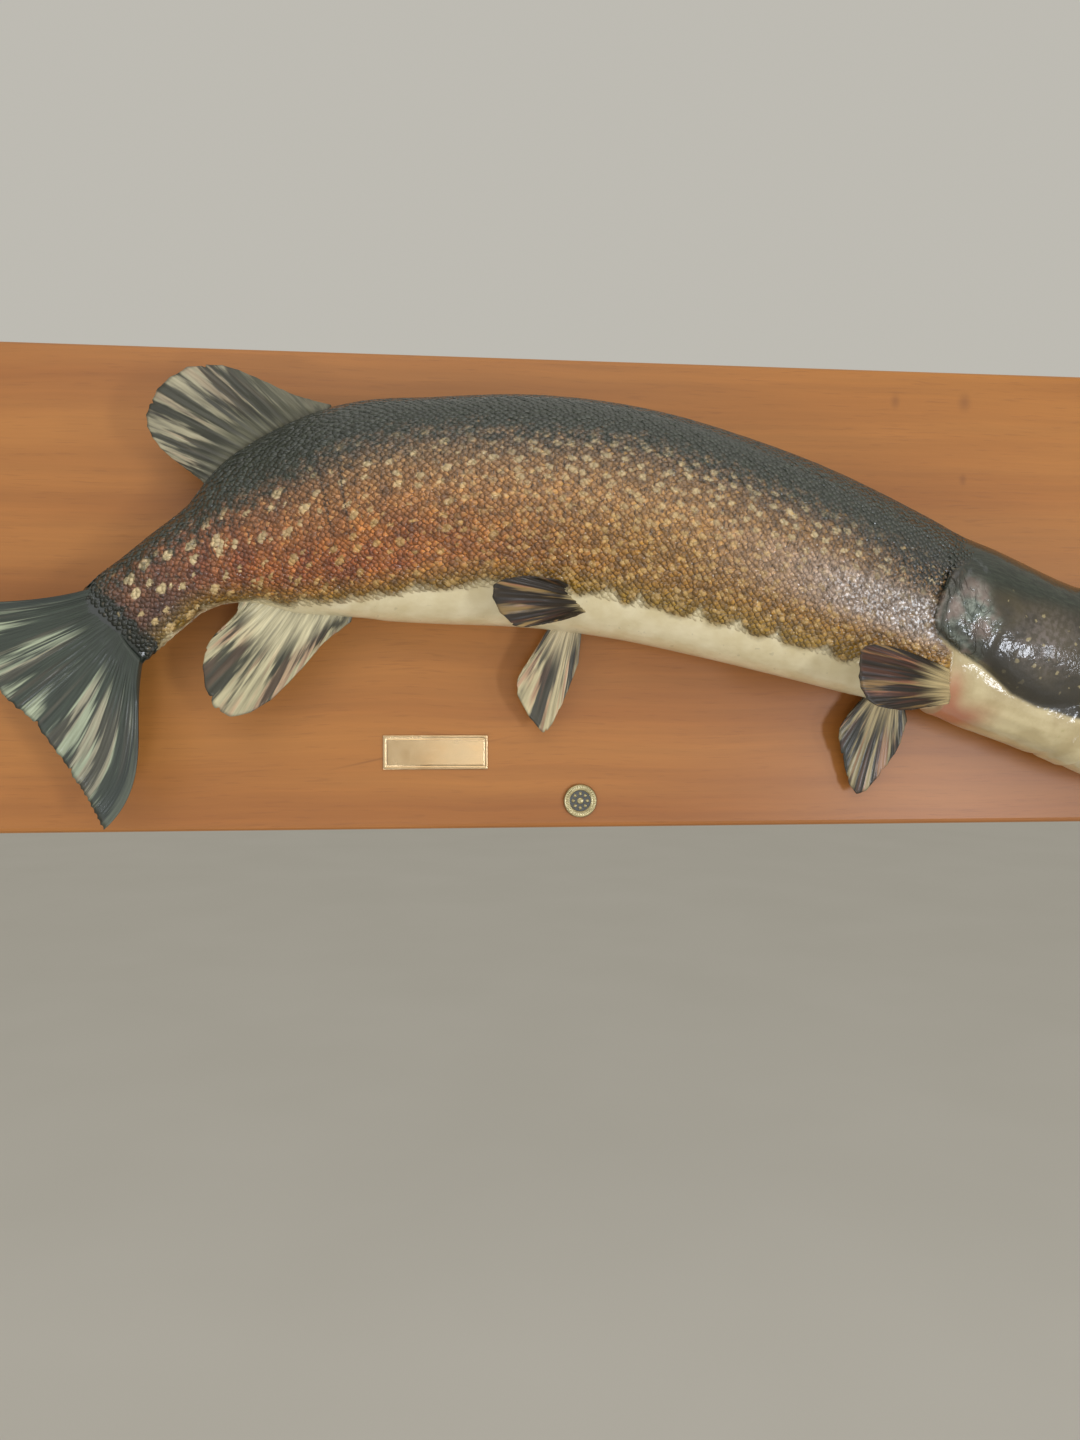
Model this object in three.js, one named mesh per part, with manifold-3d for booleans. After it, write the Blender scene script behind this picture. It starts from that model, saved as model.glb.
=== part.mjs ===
// A northern pike as a wall trophy: the fish fixed by its far flank to a wooden board, with a brass
// plate and a round medallion under it. Millimetres, +Z up. The origin is the centre of the board's
// back face, the wall is the plane y = 0, +X points to the fish's head and -Y into the room.
import * as THREE from "three";
import { mergeVertices } from "three/addons/utils/BufferGeometryUtils.js";
import Module from "manifold-3d";

const wasm = await Module();
wasm.setup();

// ---------------------------------------------------------------- driving dimensions

const gap = 0.3; // between pieces that meet
const board = { length: 1250, height: 370, thickness: 22, edgeRadius: 4 };
const boardFront = -board.thickness;
const plate = { x: -114, z: -124.3, width: 82, height: 27, thickness: 1.2 };
const medallion = { x: 0.8, z: -163.3, radius: 13.5, thickness: 3 };
const fishPlane = -71; // y of the fish's own middle plane
const boardSide = boardFront - gap; // the far flank is planed off here
const roomEnd = -250; // cutters reach from here, in front of everything,
const wallEnd = 60; // to here, behind the board

// Stations of the trunk from the tail fin's root to the gills: centre x and z, depth, half width.
const trunkStations = [
  { x: -347, z: -34, depth: 78, half: 4.5 },
  { x: -331, z: -18, depth: 69, half: 11 },
  { x: -314, z: -4, depth: 66, half: 17 },
  { x: -298, z: 9, depth: 67, half: 20.5 },
  { x: -273, z: 23, depth: 79, half: 24 },
  { x: -234, z: 39.5, depth: 124, half: 32 },
  { x: -171, z: 54, depth: 157, half: 43 },
  { x: -112, z: 56, depth: 166, half: 50 },
  { x: -40, z: 56.5, depth: 172, half: 54 },
  { x: 29, z: 49, depth: 173, half: 55 },
  { x: 99, z: 33, depth: 169, half: 54 },
  { x: 161, z: 15, depth: 162, half: 52 },
  { x: 225, z: -7, depth: 149.5, half: 49 },
  { x: 262, z: -19.5, depth: 139, half: 46.5 },
  { x: 300, z: -31, depth: 130, half: 44 },
];
const trunkCuts = [0, 4, 7, 10.4, 14]; // station numbers where the trunk is parted
const trunkNames = ["tail_stem", "trunk_rear", "trunk_middle", "trunk_front"];
const trunkSteps = [9, 8, 8, 9];
const halfCut = gap / 2 / 50; // in stations, which are about fifty millimetres apart

// Stations of the skull with its cheeks, from behind the gill covers to the tip of the upper jaw:
// centre, reach above and below it, half width, and squareness of the section.
const skullStations = [
  { x: 214, z: -6, up: 75, down: 60, half: 50, square: 2.2 },
  { x: 252, z: -15, up: 69, down: 64, half: 54, square: 2.25 },
  { x: 300, z: -26, up: 60, down: 68, half: 53, square: 2.35 },
  { x: 345, z: -36, up: 50.5, down: 70, half: 49, square: 2.5 },
  { x: 372, z: -42, up: 47, down: 61, half: 45, square: 2.6 },
  { x: 394, z: -46.5, up: 43.5, down: 43, half: 41, square: 2.6 },
  { x: 414, z: -50.5, up: 39, down: 22, half: 37, square: 2.6 },
  { x: 440, z: -55.5, up: 32, down: 12, half: 32.5, square: 2.7 },
  { x: 468, z: -60.5, up: 24, down: 10, half: 29.5, square: 2.8 },
  { x: 492, z: -65, up: 17, down: 9, half: 28, square: 2.7 },
  { x: 506, z: -67.5, up: 11, down: 7.5, half: 22, square: 2.5 },
  { x: 513, z: -68.5, up: 5, down: 4, half: 12, square: 2.3 },
];

// Stations of the throat and the gill membranes, which hang between the gill covers.
const throatStations = [
  { x: 244, z: -48, up: 30, down: 41, half: 43, square: 2.1 },
  { x: 266, z: -54, up: 30, down: 41, half: 42, square: 2.1 },
  { x: 300, z: -66, up: 28, down: 38, half: 40, square: 2.1 },
  { x: 340, z: -80, up: 22, down: 37.5, half: 38, square: 2.2 },
  { x: 370, z: -91, up: 10, down: 37.5, half: 36, square: 2.3 },
  { x: 388, z: -98, up: 2, down: 37.5, half: 34, square: 2.3 },
];

// Stations of the lower jaw: centre, height of the arms above it, depth below, half width and how
// far the mouth's floor lies under the lips.
const jawStations = [
  { x: 372, z: -103, up: 8, down: 25, half: 35.5, floor: 11 },
  { x: 392, z: -110.5, up: 10, down: 26.5, half: 35, floor: 16 },
  { x: 416, z: -119.5, up: 11, down: 27, half: 33.5, floor: 19 },
  { x: 446, z: -130.5, up: 11, down: 24.5, half: 31, floor: 19 },
  { x: 476, z: -138.5, up: 11, down: 22, half: 28.5, floor: 16 },
  { x: 498, z: -143, up: 12, down: 19.5, half: 24.5, floor: 12 },
  { x: 512, z: -145, up: 12, down: 15, half: 16, floor: 7 },
  { x: 518, z: -145.5, up: 9, down: 9, half: 8, floor: 3 },
];
const mouthStations = [
  { x: 346, z: -80, up: 3, down: 3, half: 6 },
  { x: 364, z: -82, up: 10, down: 11, half: 24 },
  { x: 388, z: -84, up: 20, down: 20, half: 29 },
  { x: 414, z: -84, up: 27, down: 20, half: 28 },
  { x: 444, z: -84, up: 23, down: 14, half: 25 },
  { x: 474, z: -86, up: 20, down: 10, half: 21 },
  { x: 496, z: -88, up: 18, down: 8, half: 15 },
];
const tongueStations = [
  { x: 384, z: -117, up: 4, down: 8, half: 14 },
  { x: 404, z: -124, up: 6, down: 9, half: 17 },
  { x: 434, z: -134.5, up: 6, down: 9, half: 15 },
  { x: 462, z: -143, up: 5, down: 7, half: 10 },
  { x: 472, z: -145.5, up: 2, down: 3, half: 4 },
];

// Lines seen from the side: the gill opening, from above the nape to below the throat, the crease
// under the cheek where the throat begins, and the front edge of the gill cover.
const gillLine = [
  [308, 120], [290, 60], [275, 33], [262, 13], [253, -5], [248.5, -20], [249.5, -32],
  [255, -38], [264, -45], [265, -70], [267, -90], [272, -120], [276, -170],
];
const creaseLine = [
  [200, 0], [250, -33], [267, -44], [287, -55], [312, -76], [332, -85], [363, -92.5], [392, -94],
  [560, -104],
];
const coverFront = [
  [277, 32], [288, 10], [293, -16], [292, -42], [296, -90],
];
const coverTopZ = 30;
const coverInside = 24; // the covers are shells outside this distance from the middle plane

const eye = { x: 386, z: -15.5, y: 27, radius: 14.5 };

const lowerTeeth = { count: 7, from: 405, to: 500, length: 11, width: 3.6 };
const upperTeeth = { count: 8, from: 424, to: 500, length: 6, width: 2.6 };
const palateTeeth = { count: 4, from: 428, to: 482, length: 8, width: 3 };
const toothLean = 0.22; // backwards, in radians
const jawLip = 5.5; // thickness of the jaw's arms along the lips

// Fins: points of the root line and of the margin, front ray first, as [x, y, z].
const fins = {
  dorsal_fin: {
    root: [[-186, -71, 120], [-215, -71, 113], [-245, -71, 97], [-277, -71, 70]],
    margin: [
      [-190, -71, 133], [-216, -72, 139], [-243, -73, 150], [-268, -74, 157.5], [-291, -74, 155.5],
      [-311, -74, 140], [-320, -73, 120], [-312, -72, 99], [-284, -71, 78],
    ],
    thick: 6, edge: 1.6, across: 14, along: 4, bow: -3,
  },
  anal_fin: {
    root: [[-172, -71, -13], [-200, -71, -14], [-228, -71, -10], [-252, -71, 1]],
    margin: [
      [-176, -71, -26], [-197, -71, -43], [-216, -70, -65], [-238, -69, -86], [-262, -68, -96],
      [-277, -68, -86], [-283, -69, -64], [-279, -70, -42], [-260, -71, -24], [-256, -71, -12],
    ],
    thick: 6, edge: 1.6, across: 14, along: 4, bow: 3,
  },
  pelvic_fin_near: {
    root: [[-3, -98, -6], [-5, -97, -18]],
    margin: [
      [-30, -121, 3], [-55, -126, 5], [-74, -129, 0], [-77, -130, -10], [-71, -130, -22],
      [-60, -130, -31], [-42, -127, -29], [-26, -123, -25],
    ],
    thick: 6, edge: 1.4, across: 10, along: 5, bow: -6,
  },
  pelvic_fin_far: {
    root: [[-2, -54, -18], [-22, -54, -18]],
    margin: [
      [-5, -50, -56], [-12, -47, -76], [-21, -44, -96], [-31, -42, -109], [-43, -42, -96],
      [-53, -43, -74], [-46, -46, -58], [-36, -50, -45],
    ],
    thick: 6, edge: 1.4, across: 10, along: 5, bow: 3,
  },
  pectoral_fin_near: {
    root: [[266, -104, -56], [263, -98, -86]],
    margin: [
      [222, -127, -46], [200, -133, -41], [184, -137, -45], [181, -139, -58], [182, -140, -70],
      [191, -139, -83], [210, -134, -88], [229, -126, -88],
    ],
    thick: 8, edge: 1.4, across: 10, along: 5, bow: -8,
  },
  pectoral_fin_far: {
    root: [[256, -44, -72], [236, -44, -70]],
    margin: [
      [264, -40, -100], [257, -38, -122], [245, -36, -142], [230, -34, -158], [220, -33, -155],
      [213, -34, -133], [207, -37, -109], [214, -40, -95],
    ],
    thick: 8, edge: 1.4, across: 10, along: 5, bow: 3,
  },
  tail_fin: {
    root: [[-336, -71, 6], [-341, -71, -18], [-336, -71, -38], [-324, -71, -54]],
    margin: [
      [-487, -71, -14], [-462, -71, -34], [-438, -71, -58], [-421, -71, -80], [-402, -71, -98],
      [-381, -71, -127], [-366, -71, -151], [-353, -71, -177],
    ],
    thick: 7, edge: 1.8, across: 20, along: 6, bow: 0,
    edges: { first: [-30, -4], last: [6, -30] },
  },
};

// ---------------------------------------------------------------- shapes

// Catmull-Rom curve through a list of numbers, at t counted in list places.
function along(values, t) {
  const last = values.length - 1;
  const i = Math.min(Math.floor(t), last - 1);
  const f = t - i;
  const a = values[Math.max(i - 1, 0)];
  const b = values[i];
  const c = values[i + 1];
  const d = values[Math.min(i + 2, last)];
  const slopeB = i === 0 ? c - b : (c - a) / 2;
  const slopeC = i + 1 === last ? c - b : (d - b) / 2;
  const f2 = f * f;
  const f3 = f2 * f;
  return (2 * f3 - 3 * f2 + 1) * b + (f3 - 2 * f2 + f) * slopeB
    + (3 * f2 - 2 * f3) * c + (f3 - f2) * slopeC;
}

// Values of every station property at t, with the centre line's direction.
function stationAt(stations, t) {
  const at = {};
  for (const key of Object.keys(stations[0])) at[key] = along(stations.map((s) => s[key]), t);
  const step = 0.02;
  const last = stations.length - 1;
  const [t0, t1] = [Math.max(t - step, 0), Math.min(t + step, last)];
  const dx = along(stations.map((s) => s.x), t1) - along(stations.map((s) => s.x), t0);
  const dz = along(stations.map((s) => s.z), t1) - along(stations.map((s) => s.z), t0);
  const length = Math.hypot(dx, dz);
  at.normal = [-dz / length, dx / length];
  return at;
}

// One closed ring: a superellipse, (y/half)^n + (h/reach)^n = 1, with its own reach up and down.
function ovalRing(at, sides, grow) {
  const up = (at.up ?? at.depth / 2) + grow;
  const down = (at.down ?? at.depth / 2) + grow;
  const power = 2 / (at.square ?? 2.15);
  const ring = [];
  for (let k = 0; k < sides; k += 1) {
    const angle = (2 * Math.PI * k) / sides;
    const c = Math.cos(angle);
    const s = Math.sin(angle);
    const h = Math.sign(c) * Math.abs(c) ** power * (c > 0 ? up : down);
    const y = Math.sign(s) * Math.abs(s) ** power * (at.half + grow);
    ring.push(new THREE.Vector3(at.x + at.normal[0] * h, fishPlane - y, at.z + at.normal[1] * h));
  }
  return ring;
}

// One ring of the lower jaw: the lips' outer curve below, the mouth's floor above.
function jawRing(at, sides, grow) {
  const half = sides / 2;
  const lip = jawLip * Math.min(1, at.half / 20);
  const ring = [];
  for (let k = 0; k < sides; k += 1) {
    const outer = k <= half;
    const angle = Math.PI * (outer ? k / half : (sides - k) / half);
    const c = Math.cos(angle);
    const s = Math.abs(Math.sin(angle));
    const reach = outer ? at.half + grow : at.half - lip - grow;
    const y = Math.sign(c) * Math.abs(c) ** 0.8 * Math.max(reach, 0.5);
    const low = outer ? at.up + at.down + grow * 2 : at.floor - grow;
    const h = at.up + grow - s ** 0.8 * low;
    ring.push(new THREE.Vector3(at.x + at.normal[0] * h, fishPlane - y, at.z + at.normal[1] * h));
  }
  return ring;
}

// A closed body through equal rings, with a fan at each end.
function loft(rings) {
  const sides = rings[0].length;
  const points = rings.flat();
  const faces = [];
  for (let i = 0; i + 1 < rings.length; i += 1) {
    for (let k = 0; k < sides; k += 1) {
      const a = i * sides + k;
      const b = i * sides + ((k + 1) % sides);
      faces.push(a, b, a + sides, b, b + sides, a + sides);
    }
  }
  for (const end of [0, rings.length - 1]) {
    const ring = rings[end];
    const middle = points.length;
    points.push(ring.reduce((sum, p) => sum.add(p), new THREE.Vector3()).divideScalar(sides));
    for (let k = 0; k < sides; k += 1) {
      const a = end * sides + k;
      const b = end * sides + ((k + 1) % sides);
      faces.push(...(end === 0 ? [middle, b, a] : [middle, a, b]));
    }
  }
  return solidFrom(points, faces);
}

// A station list's body between two stations, grown by a skin of the given thickness.
function stationBody(stations, { from = 0, to = stations.length - 1, steps, sides, grow = 0,
  ring = ovalRing }) {
  const rings = [];
  for (let i = 0; i <= steps; i += 1) {
    rings.push(ring(stationAt(stations, from + ((to - from) * i) / steps), sides, grow));
  }
  return loft(rings);
}

// Solids in manifold-3d, always with the faces turned out.
function solidFrom(points, faces) {
  const geometry = new THREE.BufferGeometry().setFromPoints(points);
  geometry.setIndex(faces);
  return solidOf(geometry);
}

function solidOf(geometry) {
  const bare = geometry.clone();
  bare.deleteAttribute("normal");
  bare.deleteAttribute("uv");
  const merged = mergeVertices(bare, 1e-4);
  const triVerts = new Uint32Array(merged.index.array);
  const make = () => new wasm.Manifold(new wasm.Mesh({
    numProp: 3, vertProperties: merged.attributes.position.array, triVerts,
  }));
  const solid = make();
  if (solid.volume() >= 0) return solid;
  for (let i = 0; i < triVerts.length; i += 3) {
    [triVerts[i + 1], triVerts[i + 2]] = [triVerts[i + 2], triVerts[i + 1]];
  }
  return make();
}

// An outline in x and z, drawn straight through from y0 to y1.
function prism(outline, y0, y1) {
  const shape = new THREE.Shape(outline.map(([x, z]) => new THREE.Vector2(x, z)));
  const geometry = new THREE.ExtrudeGeometry(shape, { depth: y1 - y0, bevelEnabled: false });
  geometry.rotateX(Math.PI / 2); // the outline's y becomes z, its depth runs to -Y
  geometry.translate(0, y1, 0);
  return solidOf(geometry);
}

// A fin: rays run from the root line to the margin, and the web between them is a closed plate that
// thins to its edge. The first and last rays may bend as cubic curves.
function finSolid({ root, margin, thick, edge, across, along: steps, bow, edges }) {
  const pointOn = (list, a) => new THREE.Vector3(
    ...[0, 1, 2].map((axis) => along(list.map((p) => p[axis]), a * (list.length - 1))),
  );
  const plane = new THREE.Vector3();
  const grid = [];
  for (let i = 0; i <= across; i += 1) {
    const a = i / across;
    const start = pointOn(root, a);
    const end = pointOn(margin, a);
    const ray = end.clone().sub(start);
    const side = new THREE.Vector3(-ray.z, 0, ray.x).normalize();
    const firstBend = edges ? Math.max(1 - 2 * a, 0) ** 2 : 0;
    const lastBend = edges ? Math.max(2 * a - 1, 0) ** 2 : 0;
    const bends = [0, 1].map((k) => (edges ? edges.first[k] * firstBend + edges.last[k] * lastBend : 0));
    const line = [];
    for (let j = 0; j <= steps; j += 1) {
      const r = j / steps;
      const swing = 3 * (1 - r) ** 2 * r * bends[0] + 3 * (1 - r) * r * r * bends[1];
      const p = start.clone().addScaledVector(ray, r).addScaledVector(side, -swing);
      p.y += bow * Math.sin(Math.PI * r) * Math.sin(Math.PI * a);
      line.push(p);
    }
    grid.push(line);
  }
  const first = grid[0][steps].clone().sub(grid[0][0]);
  plane.crossVectors(first, grid[across][steps].clone().sub(grid[0][0])).normalize();
  const points = [];
  for (const face of [0.5, -0.5]) {
    for (const line of grid) {
      line.forEach((p, j) => {
        const t = thick + (edge - thick) * Math.sqrt(j / steps);
        points.push(p.clone().addScaledVector(plane, face * t));
      });
    }
  }
  const width = steps + 1;
  const back = (across + 1) * width;
  const faces = [];
  const quad = (a, b, c, d) => faces.push(a, b, c, a, c, d);
  for (let i = 0; i < across; i += 1) {
    for (let j = 0; j < steps; j += 1) {
      const a = i * width + j;
      quad(a, a + width, a + width + 1, a + 1);
      quad(back + a, back + a + 1, back + a + width + 1, back + a + width);
    }
    for (const j of [0, steps]) {
      const a = i * width + j;
      if (j === 0) quad(a, back + a, back + a + width, a + width);
      else quad(a, a + width, back + a + width, back + a);
    }
  }
  for (let j = 0; j < steps; j += 1) {
    const a = across * width + j;
    quad(j, j + 1, back + j + 1, back + j);
    quad(a, back + a, back + a + 1, a + 1);
  }
  return solidFrom(points, faces);
}

// Cone teeth in two rows, set along a station list's lips and leaning back.
function teeth(stations, row, sink, inset, direction) {
  const cones = [];
  for (let i = 0; i < row.count; i += 1) {
    const x = row.from + ((row.to - row.from) * i) / (row.count - 1);
    let t = 0;
    while (t < stations.length - 1.01 && stationAt(stations, t).x < x) t += 0.02;
    const at = stationAt(stations, t);
    const size = row.length * (0.75 + 0.25 * Math.cos(2.4 * i)); // long and short by turns
    for (const side of [-1, 1]) {
      const cone = new THREE.ConeGeometry(row.width / 2, size + sink, 4);
      cone.translate(0, (size - sink) / 2, 0);
      cone.rotateX(direction > 0 ? Math.PI / 2 : -Math.PI / 2);
      cone.rotateY(direction * -toothLean);
      const square = at.square ?? 2;
      const rim = (1 - ((at.half - inset) / at.half) ** square) ** (1 / square);
      const reach = direction > 0 ? at.up : -at.down * rim;
      cone.translate(
        at.x + at.normal[0] * reach,
        fishPlane + side * (at.half - inset),
        at.z + at.normal[1] * reach,
      );
      cones.push(solidOf(cone));
    }
  }
  return cones;
}

// ---------------------------------------------------------------- the pieces

const material = (color, roughness, metalness = 0) => (
  new THREE.MeshStandardMaterial({ color, roughness, metalness }));
const finishes = {
  wood: material(0xae7548, 0.38),
  brass: material(0xc9a873, 0.25, 1),
  back: material(0x505045, 0.4),
  flank: material(0x9a7a4c, 0.4),
  cover: material(0x7d8176, 0.35),
  throat: material(0xc3b590, 0.4),
  fin: material(0x8c7d61, 0.45),
  tailFin: material(0x4d564a, 0.45),
  mouth: material(0xc9a596, 0.35),
  eye: material(0xb58a2a, 0.08),
};

const trophy = new THREE.Group();

function place(name, solid, finish) {
  const { vertProperties, triVerts, numProp } = solid.getMesh();
  const positions = new Float32Array((vertProperties.length / numProp) * 3);
  for (let i = 0; i < positions.length / 3; i += 1) {
    positions.set(vertProperties.subarray(i * numProp, i * numProp + 3), i * 3);
  }
  const geometry = new THREE.BufferGeometry();
  geometry.setAttribute("position", new THREE.BufferAttribute(positions, 3));
  geometry.setIndex(new THREE.BufferAttribute(triVerts, 1));
  geometry.computeVertexNormals();
  const mesh = new THREE.Mesh(geometry, finish);
  mesh.name = name;
  trophy.add(mesh);
}

// The board: a slab with its front edges rounded.
function boardSolid() {
  const { length, height, thickness, edgeRadius } = board;
  const outline = new THREE.Shape();
  const [w, h] = [length / 2 - edgeRadius, height / 2 - edgeRadius];
  outline.moveTo(-w, -h).lineTo(w, -h).lineTo(w, h).lineTo(-w, h).closePath();
  const geometry = new THREE.ExtrudeGeometry(outline, {
    depth: thickness - 2 * edgeRadius, bevelThickness: edgeRadius, bevelSize: edgeRadius,
    bevelSegments: 3,
  });
  geometry.rotateX(Math.PI / 2);
  geometry.translate(0, -edgeRadius, 0);
  const squareBack = new THREE.BoxGeometry(length, edgeRadius + 1, height);
  squareBack.translate(0, -(edgeRadius + 1) / 2, 0);
  return solidOf(geometry).add(solidOf(squareBack));
}

const outFrom = (line, shift) => line.map(([x, z]) => [x + shift, z]);
const far = 900;
const inFrontOfGills = (shift) => prism(
  [...outFrom(gillLine, shift), [far, -170], [far, 120]], roomEnd, wallEnd);
const behindBoardFront = prism([[-far, -far], [far, -far], [far, far], [-far, far]], boardSide, wallEnd);

const skullBody = (grow) => stationBody(skullStations, { steps: 20, sides: 24, grow });
const throatBody = (grow) => stationBody(throatStations, { steps: 7, sides: 20, grow });
const trunkLength = (i, grow) => stationBody(trunkStations, {
  from: trunkCuts[i] + (grow ? 0 : halfCut),
  to: trunkCuts[i + 1] - (grow ? 0 : halfCut),
  steps: trunkSteps[i],
  sides: 24,
  grow,
});
const jawBody = (grow) => stationBody(jawStations, { steps: 12, sides: 20, grow, ring: jawRing });
const mouth = stationBody(mouthStations, { steps: 9, sides: 14 });

place("board", boardSolid(), finishes.wood);

const plateShape = new THREE.BoxGeometry(plate.width, plate.thickness, plate.height);
plateShape.translate(plate.x, boardSide - plate.thickness / 2, plate.z);
place("brass_plate", solidOf(plateShape), finishes.brass);

const disc = medallion.radius;
const medallionProfile = [
  [0, 0], [disc, 0], [disc, medallion.thickness * 0.6], [disc - 0.8, medallion.thickness],
  [disc - 2.2, medallion.thickness], [disc - 2.8, medallion.thickness * 0.6],
  [0, medallion.thickness * 0.6],
].map(([r, h]) => new THREE.Vector2(r, h));
const medallionShape = new THREE.LatheGeometry(medallionProfile, 28);

medallionShape.rotateX(Math.PI);
medallionShape.translate(medallion.x, boardSide, medallion.z);
place("medallion", solidOf(medallionShape), finishes.brass);

// Trunk lengths, parted by thin cuts across the centre line.
trunkNames.forEach((name, i) => {
  const length = trunkLength(i, 0).subtract(behindBoardFront);
  const meetsHead = i === trunkNames.length - 1;
  place(name, meetsHead ? length.subtract(inFrontOfGills(-gap)) : length, finishes.flank);
});

// The head: skull and cheeks with the gill covers parted from it.
const eyeSolid = (side, grow) => {
  const ball = new THREE.SphereGeometry(eye.radius + grow, 14, 10);
  ball.translate(eye.x, fishPlane + side * eye.y, eye.z);
  return solidOf(ball);
};
const coverOutline = (shift) => [
  ...gillLine.slice(2, 7).map(([x, z]) => [x - 20, z]), [250, -120], [coverFront[4][0], -120],
  ...[...coverFront].reverse().map(([x, z]) => [x + shift, z]),
  [coverFront[0][0] - 4 + shift, coverTopZ + shift + 6], [262, coverTopZ + shift + 4],
];
const coverRegion = (side, shift) => {
  const inner = fishPlane + side * (coverInside - shift);
  return side < 0
    ? prism(coverOutline(shift), roomEnd, inner)
    : prism(coverOutline(shift), inner, wallEnd);
};
const underCrease = (shift) => prism(
  [...creaseLine.map(([x, z]) => [x, z - shift]), [560, -far], [200, -far]], roomEnd, wallEnd);
const headWhole = skullBody(0)
  .intersect(inFrontOfGills(0))
  .subtract(underCrease(0))
  .subtract(behindBoardFront);
let head = headWhole.subtract(mouth);
for (const side of [-1, 1]) {
  head = head.subtract(coverRegion(side, 0)).subtract(eyeSolid(side, gap));
  const cover = headWhole.intersect(coverRegion(side, -gap));
  place(side < 0 ? "gill_cover_near" : "gill_cover_far", cover, finishes.cover);
  place(side < 0 ? "eye_near" : "eye_far", eyeSolid(side, 0), finishes.eye);
}
for (const tooth of [
  ...teeth(skullStations, upperTeeth, 2.5, 4.5, -1),
  ...teeth(skullStations, palateTeeth, 6, 13, -1),
]) head = head.add(tooth);
place("head", head, finishes.back);

const throat = throatBody(0)
  .intersect(inFrontOfGills(0))
  .intersect(underCrease(gap))
  .subtract(mouth)
  .subtract(behindBoardFront);
place("throat", throat, finishes.throat);

let jaw = jawBody(0)
  .subtract(throatBody(gap))
  .subtract(skullBody(gap))
  .subtract(mouth);
for (const tooth of teeth(jawStations, lowerTeeth, 3, 3.2, 1)) jaw = jaw.add(tooth);
place("lower_jaw", jaw, finishes.throat);

const tongue = stationBody(tongueStations, { steps: 10, sides: 14 })
  .subtract(jawBody(gap))
  .subtract(throatBody(gap));
place("tongue", tongue, finishes.mouth);

// Fins end at the flesh that carries them.
const flesh = trunkNames
  .map((name, i) => trunkLength(i, gap))
  .reduce((all, length) => all.add(length))
  .add(skullBody(gap).intersect(inFrontOfGills(-gap)))
  .add(throatBody(gap));
for (const [name, fin] of Object.entries(fins)) {
  const solid = finSolid(fin).subtract(flesh).subtract(behindBoardFront);
  place(name, solid, name === "tail_fin" ? finishes.tailFin : finishes.fin);
}

export default trophy;
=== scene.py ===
# Looks of a northern pike mounted on a wall board: painted skin, a coat of scales, fins, eyes, teeth,
# the varnished board, its brass plate and medallion. Shapes are worked out in millimetres in the part's
# own frame (+X to the head, +Z up, -Y into the room) and become metres as each mesh is made.
import math
from functools import partial
from types import SimpleNamespace

import bpy
import numpy as np
from mathutils import Matrix


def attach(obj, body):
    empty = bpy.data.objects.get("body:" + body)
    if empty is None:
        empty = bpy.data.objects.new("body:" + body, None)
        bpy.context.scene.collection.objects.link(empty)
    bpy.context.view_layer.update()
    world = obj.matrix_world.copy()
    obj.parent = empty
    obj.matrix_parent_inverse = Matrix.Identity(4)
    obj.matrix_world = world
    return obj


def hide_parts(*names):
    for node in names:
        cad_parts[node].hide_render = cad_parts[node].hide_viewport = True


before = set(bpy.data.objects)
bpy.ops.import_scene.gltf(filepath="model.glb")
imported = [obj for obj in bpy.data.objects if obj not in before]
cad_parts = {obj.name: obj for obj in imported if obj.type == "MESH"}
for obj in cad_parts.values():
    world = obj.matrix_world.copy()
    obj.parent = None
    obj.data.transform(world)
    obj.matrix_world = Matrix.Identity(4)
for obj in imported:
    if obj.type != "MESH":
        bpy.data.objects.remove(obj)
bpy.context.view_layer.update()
scene = bpy.context.scene
rng = np.random.default_rng(27)
print("frame loaded:", len(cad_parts), "nodes")

fishPlane = -71.0  # y of the fish's middle plane
boardSide = -22.35  # the far flank is planed off here, clear of the board
ovalPower = 2.15  # squareness of the trunk's sections, where 2 would be an ellipse
tau = 2 * math.pi


def smooth(v):
    # 0 below 0, 1 above 1 and 3v^2 - 2v^3 between
    v = np.clip(v, 0, 1)
    return v * v * (3 - 2 * v)


def bell(u, v=0.0):
    # 1 in the middle, falling off all round as exp(-u^2 - v^2)
    return np.exp(-(u**2) - v**2)


def gridFaces(rows, columns, first=0, closed=False):
    # four-sided faces of a rows x columns grid of points; closed joins the last column to the first
    wide = columns if closed else columns - 1
    i, j = np.meshgrid(np.arange(rows - 1), np.arange(wide), indexing="ij")
    k = (j + 1) % columns
    return np.stack([i * columns + j, i * columns + k, (i + 1) * columns + k, (i + 1) * columns + j],
                    -1).reshape(-1, 4) + first


def plateFaces(rows, columns):
    # faces of a front grid of points and of the back grid that follows it, and the wall round their border
    face, count = gridFaces(rows, columns), rows * columns
    border = np.concatenate([np.arange(columns), np.arange(1, rows) * columns + columns - 1,
                             (rows - 1) * columns + np.arange(columns - 2, -1, -1),
                             np.arange(rows - 2, 0, -1) * columns])
    after = np.roll(border, -1)
    wall = np.stack([border, after, after + count, border + count], 1)
    return [face, face[:, ::-1] + count, wall[:, ::-1]]


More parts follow.
